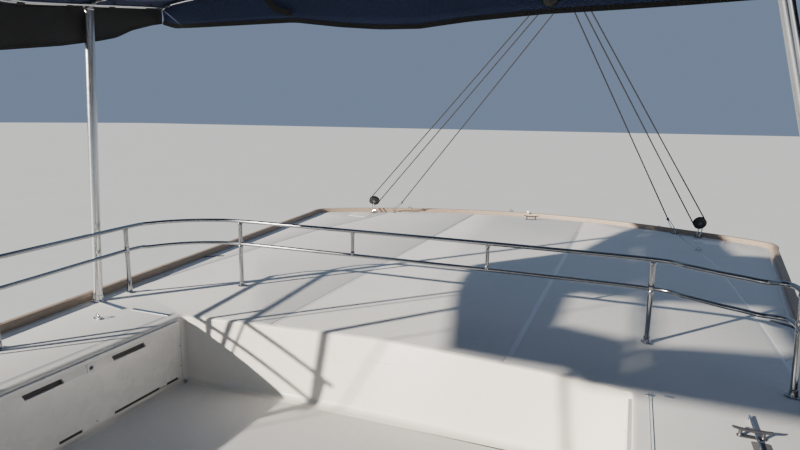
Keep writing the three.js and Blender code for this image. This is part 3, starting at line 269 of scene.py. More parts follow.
def slab(outline, low, high, round_top=0.004, round_low=0.0, holes=(), steps=3):
    """A flat plate with that outline and those holes, its edges rounded."""
    turns = spaced(0, math.pi / 2, steps)
    rows = [(round_low * (1 - math.sin(a)), low + round_low * (1 - math.cos(a))) for a in turns]
    rows = (rows if round_low else [(0, low)])
    top = [(round_top * (1 - math.cos(a)), high - round_top * (1 - math.sin(a))) for a in turns]
    rows += top if round_top else [(0, high)]
    bm = bmesh.new()
    ends = ([], [])
    for line, sign in [(anticlockwise(outline), 1)] + [(anticlockwise(h), -1) for h in holes]:
        rings = [[bm.verts.new((x, y, z)) for x, y in inset(line, d * sign)] for d, z in rows]
        for a, b in zip(rings, rings[1:]):
            for i in range(len(a)):
                j = (i + 1) % len(a)
                bm.faces.new((a[i], a[j], b[j], b[i]))
        for ring, end in ((rings[0], ends[0]), (rings[-1], ends[1])):
            end += [bm.edges.get((ring[i], ring[(i + 1) % len(ring)])) for i in range(len(ring))]
    for end in ends:
        bmesh.ops.triangle_fill(bm, use_beauty=True, edges=end)
    bmesh.ops.recalc_face_normals(bm, faces=bm.faces)
    bm.verts.index_update()
    geo = [v.co.copy() for v in bm.verts], [tuple(v.index for v in f.verts) for f in bm.faces]
    bm.free()
    return geo


def brick(low, high, radius=0.006, steps=3, corner=None):
    """A box with rounded edges."""
    line = oblong(low[0], low[1], high[0], high[1], radius if corner is None else corner, 4)
    return slab(line, low[2], high[2], radius, radius, (), steps)


# axes of a plate that stands up: its outline is in XZ and its thickness along Y
STAND_XZ = Matrix(((1, 0, 0, 0), (0, 0, 1, 0), (0, 1, 0, 0), (0, 0, 0, 1)))


def reading(table, at, column=1):
    """A straight-line reading of a table whose first column rises or falls."""
    rows = sorted(table)
    if at <= rows[0][0]:
        return rows[0][column]
    for a, b in zip(rows, rows[1:]):
        if at <= b[0]:
            return a[column] + (b[column] - a[column]) * (at - a[0]) / (b[0] - a[0])
    return rows[-1][column]


def object_of(name, geo, crease=None):
    """A mesh object with its normals outward, smooth but for the edges sharper than the crease."""
    mesh = bpy.data.meshes.new(name)
    mesh.from_pydata([tuple(v) for v in geo[0]], [], geo[1])
    bm = bmesh.new()
    bm.from_mesh(mesh)
    bmesh.ops.recalc_face_normals(bm, faces=bm.faces)
    if crease:
        for face in bm.faces:
            face.smooth = True
        for edge in bm.edges:
            if len(edge.link_faces) == 2:
                edge.smooth = edge.calc_face_angle(0) < math.radians(crease)
    bm.to_mesh(mesh)
    bm.free()
    obj = bpy.data.objects.new(name, mesh)
    scene.collection.objects.link(obj)
    return obj


def add(name, geo, look, body="boat", instead=(), crease=35, along=None, thick=0.0):
    """One piece of the model, with its finish and the body that it rides on."""
    obj = object_of(name, geo, crease)
    if along:
        grain = obj.data.attributes.new("grain", "FLOAT_VECTOR", "POINT")
        grain.data.foreach_set("vector", [c for v in along for c in v])
    obj.data.materials.append(LOOKS[look])
    if thick:
        skin = obj.modifiers.new("skin", "SOLIDIFY")
        skin.thickness, skin.offset = thick, 0
    if body:
        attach(obj, body)
    if instead:
        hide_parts(*instead)
    return obj


def add_pair(name, geo, look, body="boat", instead=(), **more):
    """A port piece and its mirror image. Body and node names take port or starboard in place of their *."""
    pair = []
    for side, shape in (("port", geo), ("starboard", mirrored(geo))):
        nodes = [node.replace("*", side) for node in instead]
        pair.append(add(f"{name}_{side}", shape, look, body.replace("*", side), nodes, **more))
    return pair


def carved(geo, *cutters, overlap=False):
    """The shape with other closed shapes taken out of it."""
    objs = [object_of(f"carve{i}", shape) for i, shape in enumerate((geo, merged(*cutters)))]
    cut = objs[0].modifiers.new("cut", "BOOLEAN")
    cut.operation, cut.solver, cut.object = "DIFFERENCE", "EXACT", objs[1]
    cut.use_self = overlap
    shape = objs[0].evaluated_get(bpy.context.evaluated_depsgraph_get())
    mesh = shape.to_mesh()
    out = [v.co.copy() for v in mesh.vertices], [tuple(p.vertices) for p in mesh.polygons]
    shape.to_mesh_clear()
    for obj in objs:
        bpy.data.meshes.remove(obj.data)
    return out


# Finishes


class Nodes:
    """The nodes of one material, made in order."""

    def __init__(self, name):
        self.material = bpy.data.materials.new(name)
        self.material.use_nodes = True
        self.tree = self.material.node_tree
        self.shader = self.tree.nodes["Principled BSDF"]
        self.place = self.node("ShaderNodeTexCoord").outputs["Object"]

    def node(self, kind, **values):
        node = self.tree.nodes.new(kind)
        for key, value in values.items():
            if hasattr(node, key):
                setattr(node, key, value)
            else:
                node.inputs[key.replace("_", " ")].default_value = value
        return node

    def link(self, a, b):
        self.tree.links.new(a, b)

    def noise(self, scale, detail=3.0, stretch=None, source=None, rough=0.55):
        vector = source or self.place
        if stretch:
            mapping = self.node("ShaderNodeMapping")
            mapping.inputs["Scale"].default_value = stretch
            self.link(vector, mapping.inputs["Vector"])
            vector = mapping.outputs[0]
        node = self.node("ShaderNodeTexNoise", Scale=scale, Detail=detail, Roughness=rough)
        self.link(vector, node.inputs["Vector"])
        return node.outputs["Fac"]

    def wave(self, scale, direction, distortion=0.0, profile="SIN", source=None):
        node = self.node("ShaderNodeTexWave", bands_direction=direction, wave_profile=profile,
                         Scale=scale, Distortion=distortion)
        self.link(source or self.place, node.inputs["Vector"])
        return node.outputs["Fac"]

    def ramp(self, fac, stops):
        node = self.node("ShaderNodeValToRGB")
        elements = node.color_ramp.elements
        while len(elements) < len(stops):
            elements.new(0.5)
        for element, (at, colour) in zip(elements, stops):
            element.position = at
            element.color = (*colour, 1)
        self.link(fac, node.inputs["Fac"])
        return node.outputs["Color"]

    def tones(self, fac, colour, stops, low, high):
        """A darker shade, the colour itself and a lighter shade, at three stops."""
        return self.ramp(fac, [(at, shade(colour, by)) for at, by in zip(stops, (low, 1, high))])

    def math(self, kind, a, b=0.0):
        node = self.node("ShaderNodeMath", operation=kind)
        for socket, value in zip(node.inputs, (a, b)):
            if isinstance(value, (int, float)):
                socket.default_value = value
            else:
                self.link(value, socket)
        return node.outputs[0]

    def blend(self, a, b, share):
        """A sum of two values in which the first counts for that share."""
        return self.math("ADD", self.math("MULTIPLY", a, share), self.math("MULTIPLY", b, 1 - share))

    def mix(self, fac, a, b):
        node = self.node("ShaderNodeMix", data_type="RGBA")
        for socket, value in ((node.inputs["Factor"], fac), (node.inputs[6], a), (node.inputs[7], b)):
            if isinstance(value, (int, float)):
                socket.default_value = value
            elif isinstance(value, tuple):
                socket.default_value = (*value, 1)
            else:
                self.link(value, socket)
        return node.outputs[2]

    def spread(self, fac, low, high):
        node = self.node("ShaderNodeMapRange")
        node.inputs["To Min"].default_value = low
        node.inputs["To Max"].default_value = high
        self.link(fac, node.inputs["Value"])
        return node.outputs[0]

    def bump(self, height, strength, distance):
        node = self.node("ShaderNodeBump", Strength=strength, Distance=distance)
        self.link(height, node.inputs["Height"])
        if self.shader.inputs["Normal"].is_linked:
            self.link(self.shader.inputs["Normal"].links[0].from_socket, node.inputs["Normal"])
        self.link(node.outputs[0], self.shader.inputs["Normal"])

    def split(self, vector, index):
        node = self.node("ShaderNodeSeparateXYZ")
        self.link(vector, node.inputs[0])
        return node.outputs[index]

    def into(self, name, value):
        if isinstance(value, (int, float)):
            self.shader.inputs[name].default_value = value
        else:
            self.link(value, self.shader.inputs[name])


def shade(colour, by):
    return tuple(min(1, max(0, c * by)) for c in colour)


def plain(name, colour, rough, vary=0.05, scale=2.0, grain=300.0, bump=0.05, depth=0.0005, metal=0.0):
    """A finish with soft blotches of colour, uneven gloss and a fine surface."""
    n = Nodes(name)
    n.into("Base Color", n.tones(n.noise(scale, 4), colour, (0.25, 0.5, 0.8), 1 - vary, 1 + vary))
    n.into("Roughness", n.spread(n.noise(scale * 6, 3), rough * 0.75, rough * 1.25))
    n.bump(n.noise(grain, 2), bump, depth)
    n.into("Metallic", metal)
    return n


def gelcoat(name, colour, rough):
    """Polished gelcoat: faint streaks from rain and salt, and a slight orange peel."""
    n = Nodes(name)
    both = n.blend(n.noise(1.1, 5, (1, 1, 0.25)), n.noise(14, 4), 0.7)
    n.into("Base Color", n.tones(both, colour, (0.3, 0.52, 0.75), 0.93, 1.03))
    n.into("Roughness", n.spread(n.noise(9, 4), rough * 0.75, rough * 1.35))
    n.bump(n.noise(55, 2), 0.12, 0.0008)
    n.into("Coat Weight", 0.35)
    n.into("Coat Roughness", 0.12)
    return n


def nonskid(name, colour):
    """Moulded deck grip: a fine grain of raised dots, greyer where feet have worn it."""
    n = Nodes(name)
    spots = n.noise(26, 5)
    both = n.blend(n.noise(0.9, 6), spots, 0.65)
    n.into("Base Color", n.tones(both, colour, (0.3, 0.5, 0.72), 0.9, 1.05))
    cells = n.node("ShaderNodeTexVoronoi", Scale=260.0)
    n.link(n.place, cells.inputs["Vector"])
    n.bump(cells.outputs["Distance"], 0.5, 0.0012)
    n.into("Roughness", n.spread(spots, 0.62, 0.85))
    return n


def wood(name, dark, light, rough, coat, lines=0.0, follows=False):
    """Wood whose grain runs along X, or along the piece where that follows a curve."""
    n = Nodes(name)
    grain = n.node("ShaderNodeAttribute", attribute_name="grain").outputs["Vector"] if follows else n.place
    fibre = n.noise(18, 6, (0.6, 14, 14), grain, 0.65)
    both = n.blend(fibre, n.noise(0.45, 2, (1, 0.2, 0.2), grain), 0.7)
    between = tuple((a + b) / 2 for a, b in zip(dark, light))
    colour = n.ramp(both, [(0.32, dark), (0.52, between), (0.72, light)])
    if lines:
        seam = n.math("GREATER_THAN", n.math("FRACT", n.math("MULTIPLY", n.split(grain, 1), 1 / lines)), 0.93)
        colour = n.mix(seam, colour, (0.02, 0.02, 0.02))
    n.into("Base Color", colour)
    n.into("Roughness", n.spread(fibre, rough * 0.8, rough * 1.2))
    n.bump(fibre, 0.35, 0.0012)
    n.into("Coat Weight", coat)
    return n


def woven(name, colour, thread, rough=0.9, vary=0.12, sheen=0.25, bump=0.35):
    """Cloth: warp and weft threads, soft fading and a little sheen."""
    n = Nodes(name)
    warp = n.wave(1 / thread, "X")
    weft = n.math("MAXIMUM", n.wave(1 / thread, "Y"), n.wave(1 / thread, "Z"))
    weave = n.math("MULTIPLY", n.math("ADD", warp, weft), 0.5)
    both = n.blend(n.noise(1.6, 5), weave, 0.75)
    n.into("Base Color", n.tones(both, colour, (0.2, 0.5, 0.85), 1 - vary, 1 + vary))
    n.into("Roughness", n.spread(n.noise(40, 3), rough * 0.9, min(1, rough * 1.1)))
    n.bump(weave, bump, 0.0006)
    n.bump(n.noise(7, 4), 0.25, 0.006)
    n.into("Sheen Weight", sheen)
    n.into("Sheen Roughness", 0.5)
    return n


def braid(name, colour, fleck, pitch=0.012):
    """Braided rope: strands that cross, and a fleck of a second colour."""
    n = Nodes(name)
    strands = n.math("MULTIPLY", n.wave(1 / pitch, "DIAGONAL"), n.wave(1 / pitch, "Z"))
    n.into("Base Color", n.ramp(strands, [(0.25, shade(colour, 0.7)), (0.6, colour), (0.93, fleck)]))
    n.into("Roughness", n.spread(n.noise(60, 2), 0.7, 0.95))
    n.bump(strands, 0.6, 0.001)
    return n


def painted_by_height(name, low, high, at, edge=0.004, stripe=(0.10, 0.17)):
    """Antifouling below a height, topside paint above it and a dark stripe along the waterline."""
    n = Nodes(name)
    height = n.split(n.place, 2)
    wander = n.math("MULTIPLY", n.math("SUBTRACT", n.noise(3, 3), 0.5), edge)
    above = n.math("GREATER_THAN", n.math("ADD", height, wander), at)
    top = n.tones(n.noise(1.1, 5, (1, 1, 0.3)), high, (0.3, 0.55, 0.8), 0.93, 1.03)
    over, below = n.math("GREATER_THAN", height, stripe[0]), n.math("LESS_THAN", height, stripe[1])
    under = n.tones(n.noise(7, 5), low, (0.3, 0.55, 0.8), 0.75, 1.3)
    n.into("Base Color", n.mix(above, under, n.mix(n.math("MULTIPLY", over, below), top, low)))
    n.into("Roughness", n.math("ADD", n.math("MULTIPLY", above, -0.42), n.spread(n.noise(9, 3), 0.66, 0.8)))
    n.bump(n.noise(120, 3), 0.12, 0.0008)
    n.into("Coat Weight", 0.2)
    n.into("Coat Roughness", 0.15)
    return n


WHITE = (0.80, 0.79, 0.76)
NAVY = (0.035, 0.05, 0.085)
# look: slot and the material's name, then what plain() takes after the name
PLAIN = {
    "antifoul": ("antifoul", "antifouling", NAVY, 0.75, 0.25, 5, 90, 0.3, 0.001),
    "bronze": ("bronze", "cast_bronze", (0.55, 0.38, 0.18), 0.35, 0.15, 9, 90, 0.2, 0.0008, 1.0),
    "engine": ("engine", "engine_paint", (0.36, 0.38, 0.39), 0.45, 0.12, 6, 60, 0.2, 0.001),
    "alloy": ("aluminium", "anodised_alloy", (0.60, 0.62, 0.64), 0.34, 0.05, 3, 240, 0.06, 0.0004, 1.0),
    "spar": ("aluminium", "spar_paint", (0.70, 0.71, 0.71), 0.32, 0.05, 1.2, 200, 0.05, 0.0004, 0.0),
    "steel": ("steel", "polished_steel", (0.60, 0.61, 0.62), 0.13, 0.04, 5, 60, 0.03, 0.0003, 1.0),
    # the rail's steel is plain steel painted darker: a painted reflection of dark surroundings on the tubes
    "rail_steel": ("steel", "rail_steel", (0.36, 0.37, 0.385), 0.15, 0.05, 5, 60, 0.03, 0.0003, 1.0),
    "pole": ("steel", "brushed_pole", (0.66, 0.67, 0.67), 0.24, 0.05, 4, 200, 0.05, 0.0004, 1.0),
    "dark_metal": ("steel", "dark_metal", (0.075, 0.075, 0.085), 0.36, 0.15, 30, 200, 0.1, 0.0003, 0.6),
    "bolt": ("steel", "dull_steel", (0.26, 0.26, 0.26), 0.36, 0.12, 30, 200, 0.1, 0.0003, 1.0),
    "glass": ("glass", "tinted_glass", (0.035, 0.043, 0.048), 0.04, 0.1, 1.5, 8, 0.01),
    "screen": ("glass", "dark_screen", (0.012, 0.016, 0.02), 0.08, 0.2, 4, 10, 0.01),
    "counter": ("interior", "counter_top", (0.62, 0.61, 0.58), 0.25, 0.08, 22, 80, 0.03, 0.0004),
    "black": ("block", "black_plastic", (0.016, 0.017, 0.018), 0.42, 0.3, 12, 160, 0.15),
    "rubber": ("block", "grey_rubber", (0.10, 0.10, 0.105), 0.7, 0.15, 10, 120, 0.2, 0.0006),
    "vinyl": ("canvas", "clear_vinyl", (0.80, 0.83, 0.84), 0.12, 0.04, 2.5, 12, 0.08, 0.001),
    "lens": ("glass", "lens_white", (0.75, 0.77, 0.78), 0.15, 0.05, 8, 40),
    "lens_red": ("glass", "lens_red", (0.45, 0.02, 0.02), 0.15, 0.1, 8, 40),
    "lens_green": ("glass", "lens_green", (0.02, 0.32, 0.10), 0.15, 0.1, 8, 40),
}
# and so for woven(), gelcoat(), wood() and braid()
WOVEN = {
    "net": ("net", "net", (0.50, 0.52, 0.53), 0.02, 0.85, 0.18, 0.1, 0.9),
    "canvas": ("canvas", "navy_canvas", (0.018, 0.031, 0.085), 0.0035, 0.85, 0.3, 0.04),
    "webbing": ("canvas", "black_webbing", (0.012, 0.012, 0.014), 0.003, 0.8, 0.3, 0.1),
    "shade_mesh": ("canvas", "shade_mesh", (0.016, 0.017, 0.020), 0.004, 0.8, 0.35, 0.1, 0.6),
    "sailcloth": ("sailcloth", "sailcloth", (0.72, 0.72, 0.69), 0.006, 0.7, 0.06, 0.05, 0.15),
    "cushion": ("cushion", "cushion_cloth", (0.50, 0.48, 0.43), 0.003, 0.9, 0.1, 0.3),
    "piping": ("cushion", "piping", (0.30, 0.29, 0.27), 0.003, 0.85, 0.15, 0.2),
}
GELCOAT = {
    "gelcoat": ("gelcoat", "gelcoat", WHITE, 0.26),
    "cream": ("gelcoat", "cream_gelcoat", (0.775, 0.755, 0.70), 0.30),
    "smooth": ("gelcoat", "smooth_deck", (0.66, 0.67, 0.67), 0.22),
}
WOOD = {
    "teak": ("teak", "teak", (0.22, 0.165, 0.125), (0.50, 0.385, 0.285), 0.6, 0.05, 0.0, True),
    "floor_teak": ("teak", "teak_boards", (0.22, 0.13, 0.07), (0.47, 0.31, 0.18), 0.5, 0.15, 0.055),
    "joinery": ("interior", "joinery", (0.30, 0.19, 0.11), (0.52, 0.36, 0.22), 0.4, 0.4),
}
BRAID = {
    "rope": ("block", "black_rope", (0.022, 0.022, 0.024), (0.10, 0.10, 0.11)),
    "lacing": ("net", "white_line", (0.55, 0.55, 0.53), (0.75, 0.75, 0.72)),
}
# sockets that only some plain finishes set
SPECIAL = [("glass", "Transmission Weight", 0.25), ("vinyl", "Alpha", 0.16), ("spar", "Coat Weight", 0.3),
           ("glass", "Coat Weight", 0.5), ("screen", "Coat Weight", 0.6)]


def make_looks():
    looks = {"nonskid": (nonskid("deck_grip", (0.655, 0.655, 0.645)), "nonskid"),
             "hull": (painted_by_height("hull_paint", NAVY, WHITE, 0.06), "gelcoat")}
    for maker, table in ((plain, PLAIN), (woven, WOVEN), (gelcoat, GELCOAT), (wood, WOOD), (braid, BRAID)):
        looks.update({look: (maker(*rest), slot) for look, (slot, *rest) in table.items()})
    for look, socket, value in SPECIAL:
        looks[look][0].into(socket, value)
    return looks


FINISHES = make_looks()
LOOKS = {name: nodes.material for name, (nodes, _) in FINISHES.items()}


def repaint(look, name, bevel=0.0):
    """A CAD node that keeps its shape gets a finish, and softened edges where it is asked."""
    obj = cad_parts[name]
    obj.data.materials.clear()
    obj.data.materials.append(LOOKS[look])
    if bevel:
        soft = obj.modifiers.new("soft", "BEVEL")
        soft.width, soft.segments, soft.limit_method = bevel, 3, "ANGLE"
        soft.angle_limit = math.radians(28)
        soft.harden_normals = True


# Camera, light and floor


def look_from_the_flybridge():
    forward = Vector((-math.cos(CAMERA_YAW), -math.sin(CAMERA_YAW), 0))
    right = Vector((-math.sin(CAMERA_YAW), math.cos(CAMERA_YAW), 0))
    up = Vector((0, 0, 1))
    ahead = forward * math.cos(CAMERA_PITCH) - up * math.sin(CAMERA_PITCH)
    above = up * math.cos(CAMERA_PITCH) + forward * math.sin(CAMERA_PITCH)
    across = right * math.cos(CAMERA_ROLL) + above * math.sin(CAMERA_ROLL)
    top = above * math.cos(CAMERA_ROLL) - right * math.sin(CAMERA_ROLL)
    data = bpy.data.cameras.new("camera")
    data.lens, data.sensor_width = LENS, SENSOR
    data.clip_start, data.clip_end = 0.05, 1000
    camera = bpy.data.objects.new("camera", data)
    camera.matrix_world = Matrix.Translation(CAMERA_AT) @ Matrix((across, top, -ahead)).transposed().to_4x4()
    scene.collection.objects.link(camera)
    scene.camera = camera


def light_the_scene():
    data = bpy.data.lights.new("key", "SUN")
    data.energy, data.angle, data.color = 11.6, math.radians(0.8), (1.0, 0.92, 0.80)
    key = bpy.data.objects.new("key", data)
    level = math.cos(SUN_HEIGHT)
    toward = Vector((math.cos(SUN_AZIMUTH) * level, math.sin(SUN_AZIMUTH) * level, math.sin(SUN_HEIGHT)))
    key.rotation_euler = toward.to_track_quat("Z", "Y").to_euler()
    scene.collection.objects.link(key)
    world = bpy.data.worlds.new("studio")
    scene.world = world
    world.use_nodes = True
    back = world.node_tree.nodes["Background"]
    back.inputs["Color"].default_value = (0.52, 0.69, 1.0, 1)
    back.inputs["Strength"].default_value = 0.335


def lay_the_floor():
    size = 400.0
    mesh = bpy.data.meshes.new("floor")
    line = oblong(-size, -size, size, size)
    mesh.from_pydata([(x, y, 0) for x, y in line], [], [(0, 1, 2, 3)])
    floor = bpy.data.objects.new("floor", mesh)
    scene.collection.objects.link(floor)
    n = plain("studio_floor", (0.58, 0.60, 0.60), 0.8, 0.02, 0.2, 4, 0.02, 0.001)
    mesh.materials.append(n.material)


look_from_the_flybridge()
light_the_scene()
lay_the_floor()


# Flybridge deck, well and toe rail

# x and half width of the roof, from fore to aft
ROOF = [(4.75, 0.4), (4.5, 1.05), (3.9, 1.6), (3.0, 2.05), (1.5, 2.3), (-0.5, 2.43), (-2.0, 2.58),
        (-4.7, 2.91), (-7.0, 3.20), (-7.4, 3.25), (-7.64, 3.295), (-7.79, 3.28), (-7.9, 3.195),
        (-8.1, 2.895), (-8.34, 2.45), (-8.63, 1.8), (-8.866, 1.0), (-8.981, 0.0)]
STRIP = (0.8555, 0.9005)  # inner and outer edge of the smooth strip on each side of the middle panel
# the thin strip outboard, as x and y of its middle
THIN_STRIP = [(-2.95, 2.572), (-4.56, 2.55), (-5.6, 2.525), (-6.4, 2.484), (-6.94, 2.403), (-7.5, 2.31),
              (-8.3, 2.2)]
THIN_HALF = 0.012
MARGIN = 0.105  # smooth border between the panels and the roof's edge
TOE_RAIL_HIGH = 0.062


def roof_side(per=6):
    """The port edge of the roof from fore to aft, as a smooth line that meets the centreline at both ends."""
    line = [(4.80, 0.0)] + ROOF
    points = [(x, y, 0) for x, y in line]
    mirror = [(x, -y, 0) for x, y in line[1:-1]][::-1]
    whole = spline(points + mirror, per, closed=True)
    return [(p.x, p.y) for p in whole[: per * (len(line) - 1) + 1]]


SIDE = roof_side()
ROOF_LINE = anticlockwise(SIDE + [(x, -y) for x, y in SIDE[1:-1]][::-1])


def side_inset(distance):
    """The port edge moved inwards, kept on its own side of the centreline."""
    moved_in = inset(ROOF_LINE, distance)
    side = [p for p in moved_in if p[1] > 0]
    return sorted(side, key=lambda p: -p[0])


def well_bow(y):
    """How far the well's aft side stands aft of its corners."""
    return reading(WELL_BOW, abs(y))


def well_line(grow=0.0, radius=0.055, bowed=1.0):
    """The well's outline, with that share of the bow in its aft side."""
    reach = grow - WELL["wall"]
    half, aft, fore = WELL["half"] + reach, WELL["aft"] - reach, WELL["fore"] + reach
    line = oblong(aft, -half, fore, half, radius + grow, 8)
    return line + [(aft - well_bow(y) * bowed, y) for y in spaced(1.5, -1.5, 24)]


BORDER = side_inset(MARGIN)
GRIP_AFT, GRIP_SIDE = WELL["aft"] + 0.021, WELL["half"] - 0.021  # where the panels meet the well
STRIP_STOPS = (-5.0, -6.2, -6.59, -6.75, -6.92, -7.2, -7.49, -7.9)  # x where the thin strip is read


def border_between(first, last):
    """The border's aft points between two distances off the centreline, in that order."""
    part = [p for p in BORDER if p[0] < -3.5 and min(first, last) < p[1] < max(first, last)]
    return sorted(part, key=lambda p: abs(p[1] - first))


def border_x(y):
    return reading(sorted((p[1], p[0]) for p in BORDER if p[0] < -6), y)


def beside_strip(xs, side):
    """Points along the thin strip's inboard (-1) or outboard (1) edge."""
    return [(x, reading(THIN_STRIP, x) + side * THIN_HALF) for x in xs]


def grip(name, line, radius, adder=add):
    """A non-skid panel that lies on the smooth deck."""
    adder(name, slab(corners(line, radius, 3), ROOF_Z - PANEL, ROOF_Z + PANEL, 0.0015), "nonskid")


def make_deck():
    hole = well_line(WELL["wall"] + 0.0003)
    deck = slab(ROOF_LINE, ROOF_UNDER + 0.0005, ROOF_Z, 0.014, 0.045, [hole], 4)
    add("flybridge_deck_moulding", deck, "smooth", instead=["flybridge_deck"])

    near, far = STRIP
    arc = border_between(near, 0.0)
    middle = [(GRIP_AFT - well_bow(y), y) for y in spaced(-near, near, 14)] + [(border_x(near), near)]
    grip("grip_middle", middle + arc + [(x, -y) for x, y in arc[::-1]] + [(border_x(near), -near)], 0.04)

    inboard = [(GRIP_AFT - well_bow(far), far), (border_x(far), far)]
    inboard += border_between(far, beside_strip([-8.30], -1)[0][1] - 0.02)
    inboard += beside_strip((-8.25, *STRIP_STOPS[::-1], -3.1), -1)
    inboard += [(x, y) for x, y in reversed(BORDER) if -2.9 < x < 1.55]
    inboard += [(1.55, GRIP_SIDE), (GRIP_AFT + 0.004, GRIP_SIDE)]
    inboard += [(GRIP_AFT - well_bow(y), y) for y in (GRIP_SIDE - 0.06, 1.5, 1.3, 1.1, far + 0.05)]
    grip("grip_side", inboard, 0.03, add_pair)

    outboard = beside_strip((-3.6, *STRIP_STOPS, -8.2), 1)
    outboard += [p for p in reversed(BORDER) if p[1] > 2.45 and -8.25 < p[0] < -3.6]
    grip("grip_edge", outboard, 0.02, add_pair)

    fore = [p for p in BORDER if 1.78 < p[0] < 4.5]
    ahead = anticlockwise([(1.78, 0.0), (1.78, fore[-1][1])] + fore[::-1] + [(fore[0][0], 0.0)])
    whole = [p for p in ahead if p[1] > 0.01]
    grip("grip_fore", whole + [(x, -y) for x, y in whole[::-1]], 0.05)


def tub_section(rim=0.016, cove=0.035):
    """How far in and how high the rings of the well's lining lie, from outside to its floor."""
    wall, floor = WELL["wall"], WELL["floor"]
    rows = [(0.0, floor - wall), (0.0, ROOF_Z)]
    for a in spaced(0, math.pi / 2, 4):
        rows.append((wall - rim + rim * math.sin(a), ROOF_Z - rim + rim * math.cos(a)))
    for a in spaced(0, math.pi / 2, 6):
        rows.append((wall + cove * (1 - math.cos(a)), floor + cove * (1 - math.sin(a))))
    return rows + [(wall + cove + 0.03, floor)]


def make_well():
    """The sunken part of the flybridge: a rim, an aft wall that leans and a coved floor."""
    floor, rings = WELL["floor"], []
    for off, z in tub_section():
        lean = FLOOR_BOW + (1 - FLOOR_BOW) * max(0.0, min(1.0, (z - floor) / (ROOF_Z - floor)))
        rings.append([(x, y, z) for x, y in inset(anticlockwise(well_line(WELL["wall"], bowed=lean)), off)])
    mouth = brick((-2.6, 1.58, 3.33), (-1.1, 1.75, 3.58), 0.012)
    add("well_liner", carved(loft(rings), mouth, mirrored(mouth)), "cream", instead=["flybridge_well"])
    floor_panel = slab(well_line(-0.075, 0.085, FLOOR_BOW), floor - 0.001, floor + 0.0008, 0.0005)
    add("grip_well_floor", floor_panel, "nonskid")
    box_out = brick((-2.65, 1.677, 3.31), (-1.05, 2.237, 3.6), 0.02)
    box_in = brick((-2.6, 1.60, 3.33), (-1.1, 2.217, 3.58), 0.012)
    add_pair("locker_bin", carved(box_out, box_in), "gelcoat", instead=["flybridge_locker_*"])


def make_lid_trims():
    """Bars and plates on the deck by the well's aft corners, and the grooves along its sides."""
    bars = [[(-2.735, -2.47), (-2.700, -2.48), (-2.630, -2.165), (-2.672, -2.16)],
            [(-2.695, -2.10), (-2.655, -2.10), (-2.652, -1.72), (-2.690, -1.72)]]
    add("lid_seam_starboard", merged(*(slab(line, ROOF_Z, ROOF_Z + 0.008, 0.003) for line in bars)), "steel")
    plate = brick((-0.012, -0.026, 0), (0.012, 0.026, 0.005), 0.002, corner=0.008)
    plates = [shift(plate, x, y, ROOF_Z) for x, y in ((-2.70, 1.73), (-2.72, 1.83))]
    add("lid_plates_port", merged(*plates), "alloy")
    ridge = [(-0.003, 0), (-0.002, 0.0035), (0.002, 0.0035), (0.003, 0)]
    for i, (off, look) in enumerate(((0.045, "smooth"), (0.062, "alloy"))):
        line = [(x, WELL["half"] + off, ROOF_Z) for x in (-2.74, -1.5, 0.0, 1.5)]
        add_pair(f"lid_groove_{i}", sweep(line, ridge, up=UP), look)


def toe_rail_section(half=0.031, high=TOE_RAIL_HIGH, r=0.011):
    """A flat foot and an arched top between rounded shoulders."""
    right = [(half, 0.0003), (half, high - r)]
    right += [(half - r + r * math.cos(a), high - r + r * math.sin(a)) for a in (0.5, 1.05)]
    left = [(-half + r - r * math.sin(a), high - r + r * math.cos(a)) for a in (0.5, 1.05)]
    return [(-half, 0.0003)] + right + [(half - r, high), (0, high + 0.001), (-half + r, high)] + left + [
        (-half, high - r)]


def make_toe_rail():
    """The wooden rail round the edge of the roof, with a plug over each screw."""
    line = inset(ROOF_LINE, 0.031)
    port = sorted([p for p in line if p[1] > 0.001 and p[0] < 1.7], key=lambda p: -p[0])
    start = reading([p for p in line if p[1] > 0 and 1.2 < p[0] < 2.2], 1.7)
    path = [(1.7, start)] + port
    path = path + [(min(p[0] for p in line), 0.0)] + [(x, -y) for x, y in path[::-1]]
    points, travelled = [Vector((x, y, ROOF_Z)) for x, y in path], [0.0]
    for a, b in zip(points, points[1:]):
        travelled.append(travelled[-1] + (b - a).length)
    section = toe_rail_section()
    along = [(s, a, b) for s in travelled for a, b in section]
    add("toe_rail_wood", sweep(points, section, up=UP), "teak", instead=["toe_rail"], along=along, crease=50)
    plugs, at = [], 0.3
    plug = [(0.008, -0.002), (0.008, 0.0015), (0.006, 0.0022)]
    for i in range(1, len(points)):
        while travelled[i] >= at:
            share = (at - travelled[i - 1]) / max(travelled[i] - travelled[i - 1], 1e-6)
            spot = points[i - 1].lerp(points[i], share)
            plugs.append(lathe(plug, spot + Vector((0, 0, TOE_RAIL_HIGH)), sides=10))
            at += 0.6
    add("toe_rail_plugs", merged(*plugs), "rubber")


make_deck()
make_well()
make_lid_trims()
make_toe_rail()


# Flybridge rail

RAIL_TOP, RAIL_MID, RAIL_TUBE, RAIL_POST = 0.607, 0.4, 0.0165, 0.0185
# x and y of the upper bar; then x and y of the foot where a stanchion stands
RAIL_PORT = [
    (-0.6, 2.17, -0.6, 2.17), (-1.7, 2.25, -1.7, 2.25), (-3.065, 2.482, -3.0, 2.488), (-3.235, 2.30),
    (-3.335, 2.126), (-3.46, 1.93), (-3.575, 1.72, -3.575, 1.72), (-3.605, 0.9), (-3.61, 0.0),
]
RAIL_STARBOARD = [
    (-0.6, 2.17, -0.6, 2.17), (-1.7, 2.25, -1.7, 2.25), (-2.91, 2.37, -3.02, 2.48), (-3.16, 2.345),
    (-3.38, 2.19), (-3.52, 1.98), (-3.59, 1.72, -3.59, 1.72), (-3.605, 0.9),
]
RAIL_LINKS = (0.55, -0.60)


def rail_point(row, height):
    x, y = row[:2]
    foot_x, foot_y = row[2:] if len(row) > 2 else (x, y)
    k = height / RAIL_TOP
    return Vector((foot_x + (x - foot_x) * k, foot_y + (y - foot_y) * k, ROOF_Z + height))


